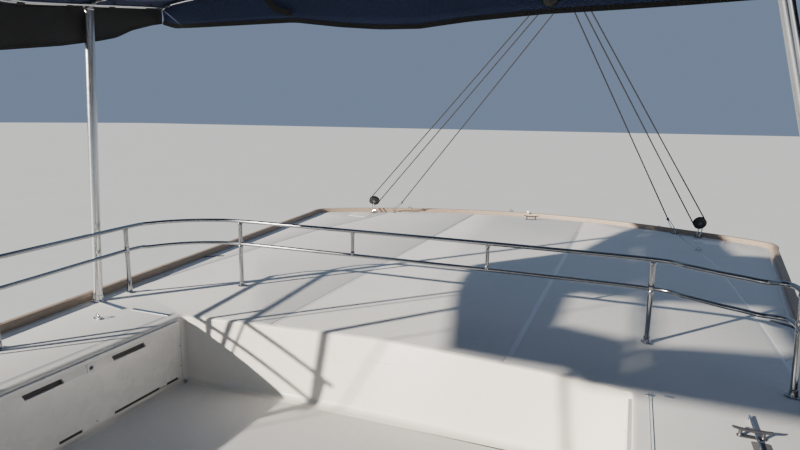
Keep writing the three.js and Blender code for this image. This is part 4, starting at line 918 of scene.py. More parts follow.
def screw_pair(reach):
    """The two screws of an oval foot."""
    head = lathe([(0.0055, 0.004), (0.0055, 0.0068), (0.003, 0.0082)], sides=10)
    return [shift(head, reach), shift(head, -reach)]


def eared_flange(at, turn=0.0, size=0.034):
    """A stanchion's base: an oval plate with an ear and a screw at each end, and a raised socket."""
    plate = slab(oval_line(size * 1.35, size * 0.78), 0.0, 0.006, 0.0025)
    socket = [(0.027, 0.004), (0.026, 0.009), (0.0235, 0.016), (0.0225, 0.045), (0.0205, 0.047)]
    base = merged(plate, lathe(socket, sides=20), *screw_pair(size * 0.98))
    return placed(base, at.x, at.y, at.z + PANEL, turn)


def stanchion(row):
    """A post of the rail with its base and the collars where it meets the bars."""
    foot = rail_point(row, 0.004)
    parts = [tube([foot + (rail_point(row, RAIL_TOP) - foot) * k for k in (0, 0.5, 0.99)], RAIL_POST, 16),
             eared_flange(foot, math.degrees(math.atan2(row[3], 2)) if abs(row[1]) < 2 else 60)]
    up = (rail_point(row, 0.1) - rail_point(row, 0)).normalized()
    collar = [(0.0185, -0.040), (0.0212, -0.038), (0.0216, -0.016), (0.0195, -0.012)]
    above = [(r, -h) for r, h in collar][::-1]
    for height, profile in ((RAIL_TOP, collar), (RAIL_MID, collar), (RAIL_MID, above)):
        parts.append(lathe(profile, rail_point(row, height), up, 16))
    return parts


def make_rail():
    rows = RAIL_PORT + [(r[0], -r[1], *((r[2], -r[3]) if len(r) > 2 else ())) for r in RAIL_STARBOARD[::-1]]
    parts, tip = [], Vector((0.012, 0, 0))
    for height, radius in ((RAIL_TOP, RAIL_TUBE), (RAIL_MID, RAIL_TUBE * 0.92)):
        path = [rail_point(r, height) for r in rows]
        parts.append(tube(spline([path[0] + tip, *path, path[-1] + tip], 8), radius, 16))
    for row in rows:
        if len(row) == 4:
            parts += stanchion(row)
    for y in RAIL_LINKS:
        x = reading([(0.0, -3.61), (0.9, -3.605)], abs(y))
        low, high = Vector((x, y, ROOF_Z + RAIL_MID)), Vector((x, y, ROOF_Z + RAIL_TOP))
        parts.append(tube([low, high], 0.0145, 14))
        for p, sign in ((low, 1), (high, -1)):
            boss = [(0.0175, 0.010 * sign), (0.0175, 0.032 * sign), (0.0150, 0.036 * sign)]
            parts.append(lathe(boss, p, sides=14))
    # the rail tubes take the darker steel, whose colour is a painted dark reflection
    add("rail_tubes", merged(*parts), "rail_steel", instead=["flybridge_rail"])


make_rail()

# Bimini

BIMINI = {"aft": -3.7, "bend": -2.2, "fore": 2.25, "half": 2.6, "edge": 6.08, "crown": 0.17, "lift": 0.21}
SIDE_BAR_Y, SIDE_BAR_Z = 2.5706, 6.045
BOWS_X = (-3.667, -2.86, -1.45, 0.4, 2.217)
FORE_HEM_Z = 5.90
# y and height of the aft hem, and x and height of the side hem
AFT_HEM = [(-2.6, 6.13), (-2.45, 6.092), (-2.278, 6.088), (-1.7, 6.085), (-1.183, 6.085), (-0.762, 6.032),
           (-0.4, 6.0), (-0.073, 5.992), (0.322, 6.025), (0.869, 6.052), (1.305, 6.058), (1.798, 6.066),
           (2.4, 6.08), (2.6, 6.12)]
SIDE_HEM = [(-3.7, 6.13), (-3.554, 6.093), (-3.32, 6.017), (-3.153, 5.936), (-2.998, 5.892), (-2.626, 5.808),
            (-2.379, 5.764), (-2.155, 5.724), (-1.2, 5.712), (1.2, 5.712), (1.9, 5.80), (2.25, 5.88)]


def lift(x):
    """Rise of the roof's aft end over its level part."""
    t = max(0.0, (BIMINI["bend"] - x) / (BIMINI["bend"] - BIMINI["aft"]))
    return BIMINI["lift"] * 1.06 * t * t / (t + 0.06)


def crown(y):
    return BIMINI["edge"] + BIMINI["crown"] * (1 - (y / BIMINI["half"]) ** 2)


def roof_cloth(x, y):
    """Height of the cloth: it dips a little between the bows and lies over them."""
    sag = 0.0
    for a, b in zip(BOWS_X, BOWS_X[1:]):
        if a < x < b:
            sag = 0.030 * math.sin(math.pi * (x - a) / (b - a)) ** 2
    edge = max(0.0, abs(y) / BIMINI["half"] - 0.93) / 0.07
    return crown(y) + lift(x) - sag * (1 - 0.6 * (y / BIMINI["half"]) ** 2) - 0.006 - 0.035 * edge**2


def end_curtain(x, ys, hem, wave):
    """Rows from an end's hem up to the roof, with a slow wave that dies out at the roof."""
    steps = 6
    return [[(x + wave * math.sin(3.2 * y) * (1 - k / steps), y,
              hem(y) * (1 - k / steps) + roof_cloth(x, y) * k / steps) for y in ys] for k in range(steps)]


# Clear windows of the roof. The first goes on down into the starboard curtain, where its ends slant
ROOF_WINDOWS = [
    {"aft": 0.68, "fore": 1.84, "out": -2.56, "near": -1.80},
    {"aft": -2.79, "fore": -1.52, "out": -1.75, "near": -0.90},
]
CURTAIN_WINDOW = {"low": 5.735, "high": 6.04, "aft": (-0.06, 0.60), "fore": (0.86, 1.72)}


def parted(rows, inside):
    """Two open sheets from rows of points: the cloth round a window, and the pane that fills it."""
    verts, faces = grid(rows)
    parts = []
    for wanted in (False, True):
        chosen = [f for f in faces if inside(sum((verts[i] for i in f), Vector()) / len(f)) == wanted]
        number = {i: k for k, i in enumerate(sorted({i for f in chosen for i in f}))}
        parts.append(([verts[i] for i in number], [tuple(number[i] for i in f) for f in chosen]))
    return parts


def in_roof_window(p):
    return p.z > 6.0 and any(w["aft"] < p.x < w["fore"] and w["out"] < p.y < w["near"] for w in ROOF_WINDOWS)


def window_line(w):
    """The outline of a window in the roof, as points on the cloth."""
    line = [(x, w["out"]) for x in spaced(w["aft"], w["fore"], 8)]
    line += [(w["fore"], y) for y in spaced(w["out"], w["near"], 5)[1:]]
    line += [(x, w["near"]) for x in spaced(w["fore"], w["aft"], 8)[1:]]
    line += [(w["aft"], y) for y in spaced(w["near"], w["out"], 5)[1:-1]]
    return [(x, y, roof_cloth(x, y)) for x, y in line]


def in_curtain_window(p):
    w = CURTAIN_WINDOW
    k = (p.z - w["low"]) / (w["high"] - w["low"])
    ends = [w[end][0] + (w[end][1] - w[end][0]) * k for end in ("aft", "fore")]
    return 0 < k < 1 and ends[0] < p.x < ends[1]


def framed(points):
    """A welt sewn round a window."""
    return sweep(rounded(points, 0.05, 5, closed=True), flat_bar(0.014, 0.0025), closed=True, up=UP)


def make_bimini():
    aft, fore, half = BIMINI["aft"], BIMINI["fore"], BIMINI["half"]
    ys = [(half - 0.006) * (j / 36 - 1) for j in range(73)]
    rows = end_curtain(aft, ys, lambda y: reading(AFT_HEM, y), 0.010)
    rows += [[(x, y, roof_cloth(x, y)) for y in ys] for x in spaced(aft, fore, 119)]
    rows += end_curtain(fore, ys, lambda y: FORE_HEM_Z, 0.0)[::-1]
    cloth, pane = parted(rows, in_roof_window)
    canvas = add("bimini_cloth", cloth, "canvas", instead=["bimini_canvas"], crease=60, thick=0.002)
    panes = add("roof_windows", pane, "vinyl", crease=60)
    welt = add("roof_window_welts", merged(*(framed(window_line(w)) for w in ROOF_WINDOWS)), "webbing")

    band = [(-0.003, -0.020), (0.003, -0.020), (0.0035, 0.016), (-0.0035, 0.016)]
    hem_aft = add("bimini_hem_aft", sweep(spline(rows[0], 2), band, up=UP), "webbing")
    hem_fore = add("bimini_hem_fore", sweep(rows[-1], band, up=UP), "webbing")
    seam_xs = [x + off for x in BOWS_X for off in (-0.042, 0.042) if aft + 0.01 < x + off < fore - 0.01]
    seams = [sweep([(x, y, roof_cloth(x, y) + 0.0008) for y in ys], flat_bar(0.006, 0.0012, -0.0022), up=UP)
             for x in seam_xs]
    trims = [hem_aft, hem_fore, add("bimini_seams", merged(*seams), "canvas"), welt]

    across, along = run_length(rows[60]), run_length([row[36] for row in rows])


# x and height of the lower edge of the sun screen let down on the starboard side, and of its upper edge
SCREEN_HEM = [(-2.06, 5.158), (-1.36, 5.176), (-0.2, 5.276), (0.42, 5.346), (0.9, 5.392), (1.99, 5.842)]
SCREEN_TOP = [(-2.06, 5.727), (1.35, 5.727), (1.99, 5.868)]


def add_curtain_window(pane):
    """The clear window of the starboard curtain. Gives its welt and its area."""
    w = CURTAIN_WINDOW
    (aft_low, aft_high), (fore_low, fore_high), low, high = w["aft"], w["fore"], w["low"], w["high"]
    line = corners([(aft_low, low), (fore_low, low), (fore_high, high), (aft_high, high)], 0.04, 4)
    path = [(x, 0.003 - BIMINI["half"], z) for x, z in line]
    band = sweep(path, flat_bar(0.0025, 0.012), closed=True, up=(0, 1, 0))
    welt = add("curtain_window_welt", band, "webbing")
    area = (fore_low - aft_low + fore_high - aft_high) / 2 * (high - low)
    pane = add("curtain_window", mirrored(pane), "vinyl", crease=60)
    return welt, area


def hang_side_curtains():
    """Curtains of dark mesh along both side bars; a clear window goes down into the starboard one."""
    aft, fore, half = BIMINI["aft"], BIMINI["fore"], BIMINI["half"]

    def place(x, share):
        """A point of the port curtain, from the side bar to its hem: it bellies in and ripples at the hem."""
        y = half - 0.004 - 0.006 * math.sin(math.pi * share) - 0.004 * (1 + math.sin(7 * x)) * share
        return x, y, (SIDE_BAR_Z - 0.012 + lift(x)) * (1 - share) + reading(SIDE_HEM, x) * share

    xs = spaced(aft + 0.003, fore - 0.003, 150)
    rows = [[place(x, share) for x in xs] for share in spaced(0, 1, 16)]
    area = sum((a[0] - b[0]) * (a[2] - c[2]) for b, a, c in zip(rows[0], rows[0][1:], rows[-1]))
    cloth, pane = parted(rows, in_curtain_window)
    hems = add_pair("side_hem", sweep(rows[-1], flat_bar(0.003, 0.014), up=UP), "webbing")
    common = {"look": "shade_mesh", "crease": 60, "thick": 0.0015}
    curtains = [add("side_curtain_port", grid(rows), **common),
                add("side_curtain_starboard", mirrored(cloth), **common)]
    welt, hole = add_curtain_window(pane)
    for curtain, trims, cut_out in zip(curtains, ([hems[0]], [hems[1], welt]), (0.0, hole)):
        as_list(trims)


def make_sun_screen():
    first, last = SCREEN_HEM[0][0], SCREEN_HEM[-1][0]
    xs, rows = spaced(first, last, 120), []
    for share in spaced(0, 1, 16):
        rows.append([(x, -2.592 + 0.005 * math.sin(5.0 * x + 2.0 * share) * share,
                      reading(SCREEN_TOP, x) * (1 - share) + reading(SCREEN_HEM, x) * share) for x in xs])
    cloth = add("sun_screen_starboard", grid(rows), "canvas", crease=60, thick=0.0015)
    edge = [(x, y, z + 0.004) for x, y, z in rows[-1]]
    hem = add("sun_screen_hem", sweep(edge, flat_bar(0.0028, 0.011), up=UP), "webbing")
    deep = [a[2] - b[2] for a, b in zip(rows[0], rows[-1])]
    area = sum((a + b) / 2 for a, b in zip(deep, deep[1:])) * (last - first) / 120


# x and y of the foot and of the head, and radius
LEGS = [(-2.73, 2.53, -2.86, 2.5426, 0.037), (-1.45, 2.42, -1.45, 1.811, 0.02),
        (-0.38, 2.33, -0.38, 2.545, 0.03), (1.8, 2.08, 1.9, 2.5526, 0.024)]


def bimini_leg(x, y, top_x, top_y, radius):
    """A leg with a screwed foot and a sleeve at its head."""
    foot, head = Vector((x, y, ROOF_Z + 0.006)), Vector((top_x, top_y, roof_cloth(top_x, top_y) - 0.03))
    lip, ring = radius + 0.02, radius + 0.012
    base = [(lip, 0), (lip, 0.005), (lip - 0.003, 0.008), (radius + 0.006, 0.010), (radius + 0.004, 0.045),
            (radius, 0.048)]
    sleeve = [(radius, -0.03), (radius + 0.005, -0.026), (radius + 0.005, 0.01), (radius, 0.014)]
    turns = [math.pi / 4 + k * math.pi / 2 for k in range(4)]
    screws = [lathe([(0.004, 0), (0.004, 0.003), (0.002, 0.004)],
                    foot + Vector((ring * math.cos(a), ring * math.sin(a), 0.007)), sides=8) for a in turns]
    pole = tube([foot, (foot + head) / 2, head], radius, 24)
    return merged(pole, lathe(base, foot, head - foot, 28), *screws, lathe(sleeve, head, head - foot, 24))


def side_bar_at(x, sign):
    return Vector((x, sign * SIDE_BAR_Y, SIDE_BAR_Z + lift(x)))


def make_bimini_trims():
    """A strap inside the aft curtain, sleeves along the side bars and a dark knob on the curtain."""
    strap = [(-3.655, -1.50, 6.40), (-3.655, -1.45, 6.29), (-3.66, -1.36, 6.19), (-3.665, -1.25, 6.145),
             (-3.665, -1.20, 6.142)]
    add("bow_strap", sweep(spline(strap, 6), flat_bar(0.0015, 0.024), up=(0, 1, 1)), "webbing")
    sleeve, sleeves = [(0.0155, -0.03), (0.0185, -0.028), (0.0185, 0.028), (0.0155, 0.03)], []
    for sign in (1, -1):
        for i in range(15):
            x = BOWS_X[0] + 0.16 + 0.4 * i
            at = side_bar_at(x, sign)
            tangent = (0.1, 0, lift(x + 0.05) - lift(x - 0.05))
            sleeves.append(lathe(sleeve, at, tangent, 14))
            link = at + Vector((0.02, -sign * 0.1, crown(2.47) - 0.055 - SIDE_BAR_Z))
            sleeves.append(tube([at, at.lerp(link, 0.5) + Vector((0, 0, 0.012)), link], 0.006, 8))
    add("side_sleeves", merged(*sleeves), "webbing")
    knob = [(0.060, 0.0), (0.060, 0.012), (0.052, 0.026), (0.034, 0.036), (0.010, 0.040)]
    add("curtain_knob", lathe(knob, (-3.694, 0.905, 6.135), (1, 0, 0), 24), "black")


def make_bimini_frame():
    parts = []
    for x in BOWS_X:
        low = SIDE_BAR_Z + 0.021 + lift(x)
        heights = [(y, roof_cloth(x, y) - 0.020) for y in spaced(-SIDE_BAR_Y, SIDE_BAR_Y, 40)]
        parts.append(tube([(x, y, z if abs(y) < 2.45 else min(z, low)) for y, z in heights], 0.016, 14))
    along = spaced(BOWS_X[0], BOWS_X[-1], 60)
    for sign in (1, -1):
        upper = [(x, sign * (SIDE_BAR_Y - 0.1), crown(2.47) + lift(x) - 0.055) for x in along]
        parts += [tube([side_bar_at(x, sign) for x in along], 0.015, 14), tube(upper, 0.010, 12)]
        socket = [(0.017, -0.02), (0.020, -0.018), (0.020, 0.018), (0.017, 0.02)]
        parts += [lathe(socket, side_bar_at(x, sign), (1, 0, 0), 14) for x in BOWS_X]
    add("bimini_tubes", merged(*parts), "steel", instead=["bimini_frame"])
    legs = [bimini_leg(x, sign * y, top_x, sign * top_y, radius)
            for x, y, top_x, top_y, radius in LEGS for sign in (1, -1)]
    add("bimini_legs", merged(*legs), "pole")
    braces = [tube([(-1.36, sign * 2.42, ROOF_Z), (-1.30, sign * 1.80, 6.10)], 0.010, 12) for sign in (1, -1)]
    add("bimini_braces", merged(*braces), "steel")


make_bimini()
hang_side_curtains()
make_sun_screen()
make_bimini_frame()
make_bimini_trims()


# Lockers and small deck fittings


SCUPPER_AT, SCUPPER_TURN = (-4.443, -2.732), math.degrees(math.atan2(0.176, -0.138))


def slot_line(x, z, length, high, slant):
    """A slot's outline whose ends slant."""
    h, w = high / 2, length / 2
    return corners([(x - w + slant, z - h), (x + w, z - h), (x + w - slant, z + h), (x - w, z + h)], 0.006, 3)


# Faces of a locker door, its notches and its slots as x, width and their height, and its screws as x and z
DOOR_NEAR, DOOR_FAR = 1.6147, 1.6367
NOTCHES = ((-2.56, 0.125), (-2.22, 0.415), (-1.675, 0.17))
NOTCH_TOP = 3.289
DOOR_SLOTS = ((-2.17, 0.26), (-1.525, 0.235))
SLOT_Z, SLOT_HIGH = 3.664, 0.036
DOOR_SCREWS = ((-1.869, 3.29), (-2.652, 3.531), (-2.652, 3.37), (-1.05, 3.37), (-1.05, 3.60))
LATCH_AT = (-1.852, DOOR_NEAR - 0.004, 3.672)


def on_door(profile, at=LATCH_AT, sides=14):
    return lathe(profile, at, (0, -1, 0), sides)


def make_locker_doors():
    ride, near = "locker_door_*", DOOR_NEAR
    holes = [slot_line(x, SLOT_Z, long, SLOT_HIGH, -0.020) for x, long in DOOR_SLOTS]
    line = oblong(-2.665, 3.265, -1.035, 3.73, 0.012, 3)
    panel = moved(slab(line, near, DOOR_FAR, 0.003, 0.004, holes, 3), STAND_XZ)
    notches = [brick((x - w / 2, near - 0.01, 3.25), (x + w / 2, near + 0.010, NOTCH_TOP), 0.003)
               for x, w in NOTCHES]
    add_pair("locker_panel", carved(panel, *notches), "gelcoat", ride, [ride])
    dark = [moved(slab(inset(anticlockwise(hole), 0.0008), near + 0.016, near + 0.019, 0.0), STAND_XZ)
            for hole in holes]
    for x, w in NOTCHES:
        low = (x - w / 2 + 0.002, near + 0.006, 3.266)
        dark.append(brick(low, (x + w / 2 - 0.002, near + 0.010, NOTCH_TOP - 0.002), 0.001))
    dark.append(brick((-2.6715, near + 0.006, 3.27), (-2.6652, near + 0.018, 3.722), 0.001))
    add_pair("locker_shadow_backing", merged(*dark), "black", ride)
    hinges = [tube([(x - half, near, 3.275), (x + half, near, 3.275)], 0.0025, 10)
              for x, half in ((-2.4625, 0.032), (-1.30, 0.05))]
    add_pair("locker_hinges", merged(*hinges), "bolt", ride)
    screw = [(0.006, -0.002), (0.006, 0.0012), (0.004, 0.0022)]
    screws = [on_door(screw, (x, near, z), 12) for x, z in DOOR_SCREWS]
    add_pair("locker_screws", merged(*screws), "bolt", ride)
    plate = slab(oblong(-1.880, 3.640, -1.824, 3.704, 0.009, 4), near - 0.006, near + 0.001, 0.0, 0.0025)
    add_pair("locker_latch", moved(plate, STAND_XZ), "lens", ride)
    knob = on_door([(0.017, -0.002), (0.017, 0.0012), (0.014, 0.0020)], sides=20)
    add_pair("locker_knob", knob, "bronze", ride)
    key = [on_door([(0.007, 0.001), (0.007, 0.0026), (0.003, 0.0029)]),
           on_door([(0.0085, 0.0010), (0.0085, 0.0023), (0.0075, 0.0025)])]
    add_pair("locker_key", merged(*key), "dark_metal", ride)


def horn_cleat(length=0.18, high=0.045):
    """A cleat along Y on two short legs, about its own foot."""
    half = [(0.2, 0.80), (0.40, 0.90), (0.5, 0.98)]
    spine = [(-a, b) for a, b in half[::-1]] + [(0, 0.78)] + half
    bar = spline([(0, a * length, b * high) for a, b in spine], 4)
    taper = [0.55 + 0.45 * max(0.0, math.sin(math.pi * t)) ** 0.5 for t in spaced(0, 1, len(bar) - 1)]
    horn = sweep(bar, circle(0.011, 14, 0.72), up=UP, scale=taper)
    legs = [lathe([(0.016, 0), (0.013, 0.004), (0.0095, 0.012), (0.009, high * 0.8)], (0, y, 0), sides=16)
            for y in (-length * 0.28, length * 0.28)]
    return merged(horn, tile(0.017, length * 0.37, 0.014, 0, 0.005, 0.002), *legs)


def padeye(size=0.1):
    """A low loop on an oval foot."""
    base = slab(oval_line(size / 2, size * 0.24), 0, 0.005, 0.002)
    line = [(-0.026, 0, 0.002), (-0.024, 0, 0.020), (0, 0, 0.036), (0.024, 0, 0.020), (0.026, 0, 0.002)]
    screws = [shift(lathe([(0.005, 0.004), (0.005, 0.0066), (0.003, 0.0078)], sides=10), s * size * 0.38)
              for s in (1, -1)]
    return merged(base, tube(spline(line, 6), 0.0052, 12), *screws)


def make_fittings():
    """Small deck hardware: name, shape, place, turn and finish."""
    # black bars in the scupper's slits are painted shade: they stand in for the dark inside of the drain
    slit_shade = [brick((x - 0.004, -0.017, 0.0025), (x + 0.004, 0.017, 0.0042), 0.0006)
             for x in (-0.07, -0.035, 0, 0.035, 0.07)]
    scupper = tile(0.112, 0.024, 0.022, -0.001, 0.003, 0.0015, 6)
    sit, on_rail = ROOF_Z + PANEL, ROOF_Z + 0.063
    rows = [
        ("deck_cleat_port", horn_cleat(0.18), (-2.402, 2.189, sit), 0, "dark_metal"),
        ("padeye_starboard", padeye(0.10), (-2.397, -2.157, sit), 80, "steel"),
        ("padeye_port", padeye(0.10), (-7.24, 2.37, sit), -80, "steel"),
        ("scupper_starboard", scupper, (*SCUPPER_AT, sit), SCUPPER_TURN, "rubber"),
        # painted shade in the scupper's slits
        ("scupper_slit_shade_starboard", merged(*slit_shade), (*SCUPPER_AT, sit), SCUPPER_TURN, "black"),
        ("aft_cleat", horn_cleat(0.24, 0.07), (-8.62, 0.09, sit), 8, "black"),
        ("fairlead_starboard", padeye(0.09), (-8.545, -1.94, on_rail), 60, "bolt"),
        ("aft_fairlead", padeye(0.09), (-8.93, -0.29, on_rail), 90, "steel"),
    ]
    for name, shape, at, turn, look in rows:
        add(name, placed(shape, *at, turn), look)
    add("scupper_port", mirrored(placed(scupper, *SCUPPER_AT, sit, SCUPPER_TURN)), "rubber")
    add_pair("line_clutch", placed(horn_cleat(0.11, 0.035), -8.70, 1.95, sit, 70), "bolt")
    pad_line = [(-7.64, 2.37), (-7.71, 2.70), (-8.08, 2.76), (-8.25, 2.43), (-8.23, 2.38)]
    add_pair("sheet_pad_base", slab(pad_line, ROOF_Z, ROOF_Z + 0.005, 0.002), "gelcoat")
    rod = [tube([(-2.62, 2.212, sit + 0.013), (-2.10, 2.204, sit + 0.013)], 0.006, 14)]
    rod += [lathe([(0.011, 0), (0.010, 0.007), (0.006, 0.012)], (x, y, sit), sides=12)
            for x, y in ((-2.60, 2.212), (-2.12, 2.204))]
    add("deck_track_port", merged(*rod), "steel")
    plate = slab(oblong(-2.36, 2.178, -2.08, 2.262, 0.012), 0, 0.003, 0.0015)
    add("deck_track_plate_port", shift(plate, z=sit), "rubber")


make_locker_doors()
make_fittings()


# Mainsheet

BLOCK_AT = Vector((-8.18, 2.445, 3.955))
LINE_PAD = Vector((-8.355, 2.155, ROOF_Z + PANEL))
BLOCK_PAD = Vector((-8.17, 2.44, ROOF_Z + PANEL))
BOOM_BLOCKS = Vector((-6.69, 0.66, 6.90))


def block(at, toward, across, radius=0.084, wide=0.034):
    """A sheave between two cheeks: it faces along its pull and turns in the plane of pull and cross."""
    pull = (toward - at).normalized()
    axle = pull.cross(across).normalized()
    rim = [(0.55, 0), (1, 0), (1.02, 0.003), (0.9, 0.008), (0.5, 0.010)]
    groove = [(0.9, -0.5), (0.74, -0.2), (0.74, 0.2), (0.9, 0.5)]
    parts = [lathe([(r * radius, s * (wide / 2 + h)) for r, h in rim], at, axle, 28) for s in (-1, 1)]
    parts.append(lathe([(r * radius, h * wide) for r, h in groove], at, axle, 28))
    hub = lathe([(radius * 0.32, -wide / 2 - 0.013), (radius * 0.32, wide / 2 + 0.013)], at, axle, 18)
    return merged(*parts), hub, pull, axle


def shackle(a, b, radius=0.006, half=0.016):
    """A bow between two points, pinned at the second."""
    a, b = Vector(a), Vector(b)
    along = (b - a).normalized()
    side = along.cross(Vector((1, 0, 0))).normalized()
    line = [b + side * half, b + side * half * 1.1 + (a - b) * 0.5, a + side * half * 0.6, a - along * 0.004,
            a - side * half * 0.6, b - side * half * 1.1 + (a - b) * 0.5, b - side * half]
    pin = tube([b - side * (half + 0.008), b + side * (half + 0.008)], radius * 0.9, 10)
    return merged(tube(spline(line, 4), radius, 12), pin)


def fall(name, low, high):
    """One part of the mainsheet, from the deck to the boom."""
    low, high = Vector(low), Vector(high)
    path = [low.lerp(high, k) for k in spaced(0, 1, 40)]
    obj = add(name, tube(path, 0.0086, 10), "rope", body=None, crease=180)
    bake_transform(obj)


# where the falls of each end meet the boom's blocks: left side of the block, right side, dead end
FALL_TOPS = {"port": ((-6.693, 0.675, 6.89), (-6.701, 0.745, 6.89), (-6.658, 0.588, 6.89)),
             "starboard": ((-6.65, 0.555, 6.89), (-6.674, 0.637, 6.89), (-6.719, 0.778, 6.89))}


def make_sheet_end(side, sign):
    """The block, pads, shackles and three falls of one end of the mainsheet."""
    flip = Vector((1, sign, 1))
    at, pad, line_pad = BLOCK_AT * flip, BLOCK_PAD * flip, LINE_PAD * flip
    body, hub, pull, axle = block(at, BOOM_BLOCKS, Vector((-0.25, 1, 0)).normalized())
    reach = axle.cross(pull).normalized() * 0.076
    reach = reach if reach.y > 0 else -reach
    left, right, dead = (Vector(p) for p in FALL_TOPS[side])
    end = line_pad + (dead - line_pad).normalized() * 0.27
    for letter, low, high in (("a", at - reach, left), ("b", at + reach, right), ("c", end, dead)):
        fall(f"fall_{letter}_{side}", low, high)
    eye = line_pad + Vector((0, 0, 0.034))
    feet = [shift(tile(0.075, 0.05, 0.03, -0.001, 0.004, 0.002), *pad),
            shift(tile(0.06, 0.04, 0.03, -0.001, 0.004, 0.002), *line_pad)]
    add(f"sheet_block_{side}", merged(body, *feet), "black", instead=[f"sheet_pad_{side}"])
    knot = [(0.010, -0.02), (0.017, -0.014), (0.019, 0), (0.017, 0.014), (0.010, 0.02)]
    add(f"sheet_block_hub_{side}", merged(hub, lathe(knot, end, dead - end, 16)), "rubber")
    steel = [shackle(end - (end - eye) * 0.15, eye + Vector((0, 0, 0.004)), 0.0055, 0.014),
             placed(padeye(0.11), *line_pad, 30 * sign), placed(padeye(0.12), *pad, 30 * sign),
             shackle(at - pull * 0.066, pad + Vector((0, 0, 0.036)), 0.0075, 0.019)]
    add(f"sheet_shackles_{side}", merged(*steel), "steel")


def make_mainsheet():
    for side, sign in (("port", 1), ("starboard", -1)):
        make_sheet_end(side, sign)
    # three blocks hang under the boom, where the falls meet
    parts, hub = [], []
    for x, y in ((-6.69, 0.60), (-6.69, 0.70), (-6.70, 0.77)):
        at, over = Vector((x, y, 6.905)), Vector((x, y, 7.2))
        shape, centre, _, _ = block(at, over, Vector((0, 1, 0)), 0.045, 0.022)
        parts.append(shape)
        hub += [centre, tube([(x, y, 6.94), (x, y, 7.01)], 0.007, 10)]
    add("boom_blocks", merged(*parts), "black", "boom")
    add("boom_block_pins", merged(*hub), "steel", "boom")


make_mainsheet()

# Hulls

# x, half width at the deck and at the waterline, keel depth and deck height
HULL_TABLE = [
    (-9.8, 0.86, 0.64, -0.15, 1.8), (-8.6, 0.98, 0.77, -0.42, 1.8), (-7.2, 1.05, 0.83, -0.57, 1.8),
    (-5.0, 1.095, 0.85, -0.68, 1.8), (-2.0, 1.1, 0.85, -0.72, 1.8), (1.0, 1.09, 0.82, -0.72, 1.82),
    (3.5, 1.04, 0.74, -0.7, 1.89), (5.5, 0.93, 0.6, -0.67, 1.97), (7.2, 0.74, 0.42, -0.62, 2.05),
    (8.6, 0.46, 0.23, -0.56, 2.12), (9.35, 0.22, 0.1, -0.5, 2.16), (9.7, 0.06, 0.036, -0.44, 2.18),
]
# fore edge of each stern step, and its height
STERN_STEPS = [(-9.15, 0.42), (-8.78, 0.76), (-8.41, 1.11), (-8.04, 1.455)]
STEP_HALF, STERN_X = 0.64, -9.8
FOIL = [(0, 0), (0.04, 0.34), (0.18, 0.86), (0.36, 1), (0.62, 0.72), (0.85, 0.3), (1, 0.03)]
# x of the nose, chord, half thickness and height, from the tip upwards
KEEL = [(1.9, 3.1, 0.12, -1.4), (1.98, 3.2, 0.125, -1.33), (2.7, 4.5, 0.19, -0.56)]
RUDDER = [(-8.34, 0.42, 0.032, -1.33), (-8.325, 0.45, 0.034, -1.28), (-8.26, 0.64, 0.046, -0.54)]
HULL_PANES = [(-5.7, -4.1), (-3.7, -2.1), (-1.7, -0.1), (0.3, 1.9)]
PANE_LOW, PANE_HIGH = 1.10, 1.34


def hull_stations(per=5):
    """Half sections from keel to deck edge, as x, distance off the hull's centreline and height."""
    rows = []
    for x, deck, water, keel, top in HULL_TABLE:
        rise = deck - water
        half = [(0.0, keel), (0.45 * water, 0.95 * keel), (0.84 * water, 0.6 * keel), (water, 0.0),
                (water + 0.42 * rise, 0.32 * top), (water + 0.86 * rise, 0.42 * top), (deck, 0.72 * top),
                (0.985 * deck, top)]
        rows.append([(x, y, z) for y, z in half])
    lines = [spline([row[i] for row in rows], per) for i in range(len(rows[0]))]
    return [spline(station[:6], 4) + spline(station[5:], 3)[1:] for station in zip(*lines)]


STATIONS = hull_stations()


def hull_half(x, z):
    """Half width of the hull at a place and height."""
    near = sorted(STATIONS, key=lambda s: abs(s[0].x - x))[:2]
    return reading([(s[0].x, reading([(p.z, p.y) for p in s], z)) for s in near], x)


def deck_z(x):
    return reading([(s[0].x, s[-1].z) for s in STATIONS], x)


def deck_half(x):
    return reading([(s[0].x, s[-1].y) for s in STATIONS], x)


def foil_ring(nose, chord, half, z):
    side = spline([(nose - a * chord, b * half, 0) for a, b in FOIL], 4)
    return [(p.x, HULL_Y + p.y, z) for p in side] + [(p.x, HULL_Y - p.y, z) for p in side[-2:0:-1]]


def strip_on_deck(xs, inner, outer, up=0.0025):
    """A thin panel that follows the sheer of the hull's deck."""
    rows = [[(x, y0 + (y1 - y0) * k / 4, deck_z(x) + up) for k in range(5)]
            for x, y0, y1 in ((x, inner(x), outer(x)) for x in xs)]
    return grid(rows)


def hull_pane(first, last, side, grow, off):
    """A pane that follows the hull's side, grown all round and moved off it."""
    rows = []
    for share in spaced(0, 1, 4):
        z = PANE_LOW - grow + (PANE_HIGH - PANE_LOW + 2 * grow) * share
        rows.append([(x, HULL_Y + side * (hull_half(x, z) + off), z)
                     for x in spaced(first - grow + 0.10 * share, last + grow + 0.10 * share, 16)])
    return grid(rows)


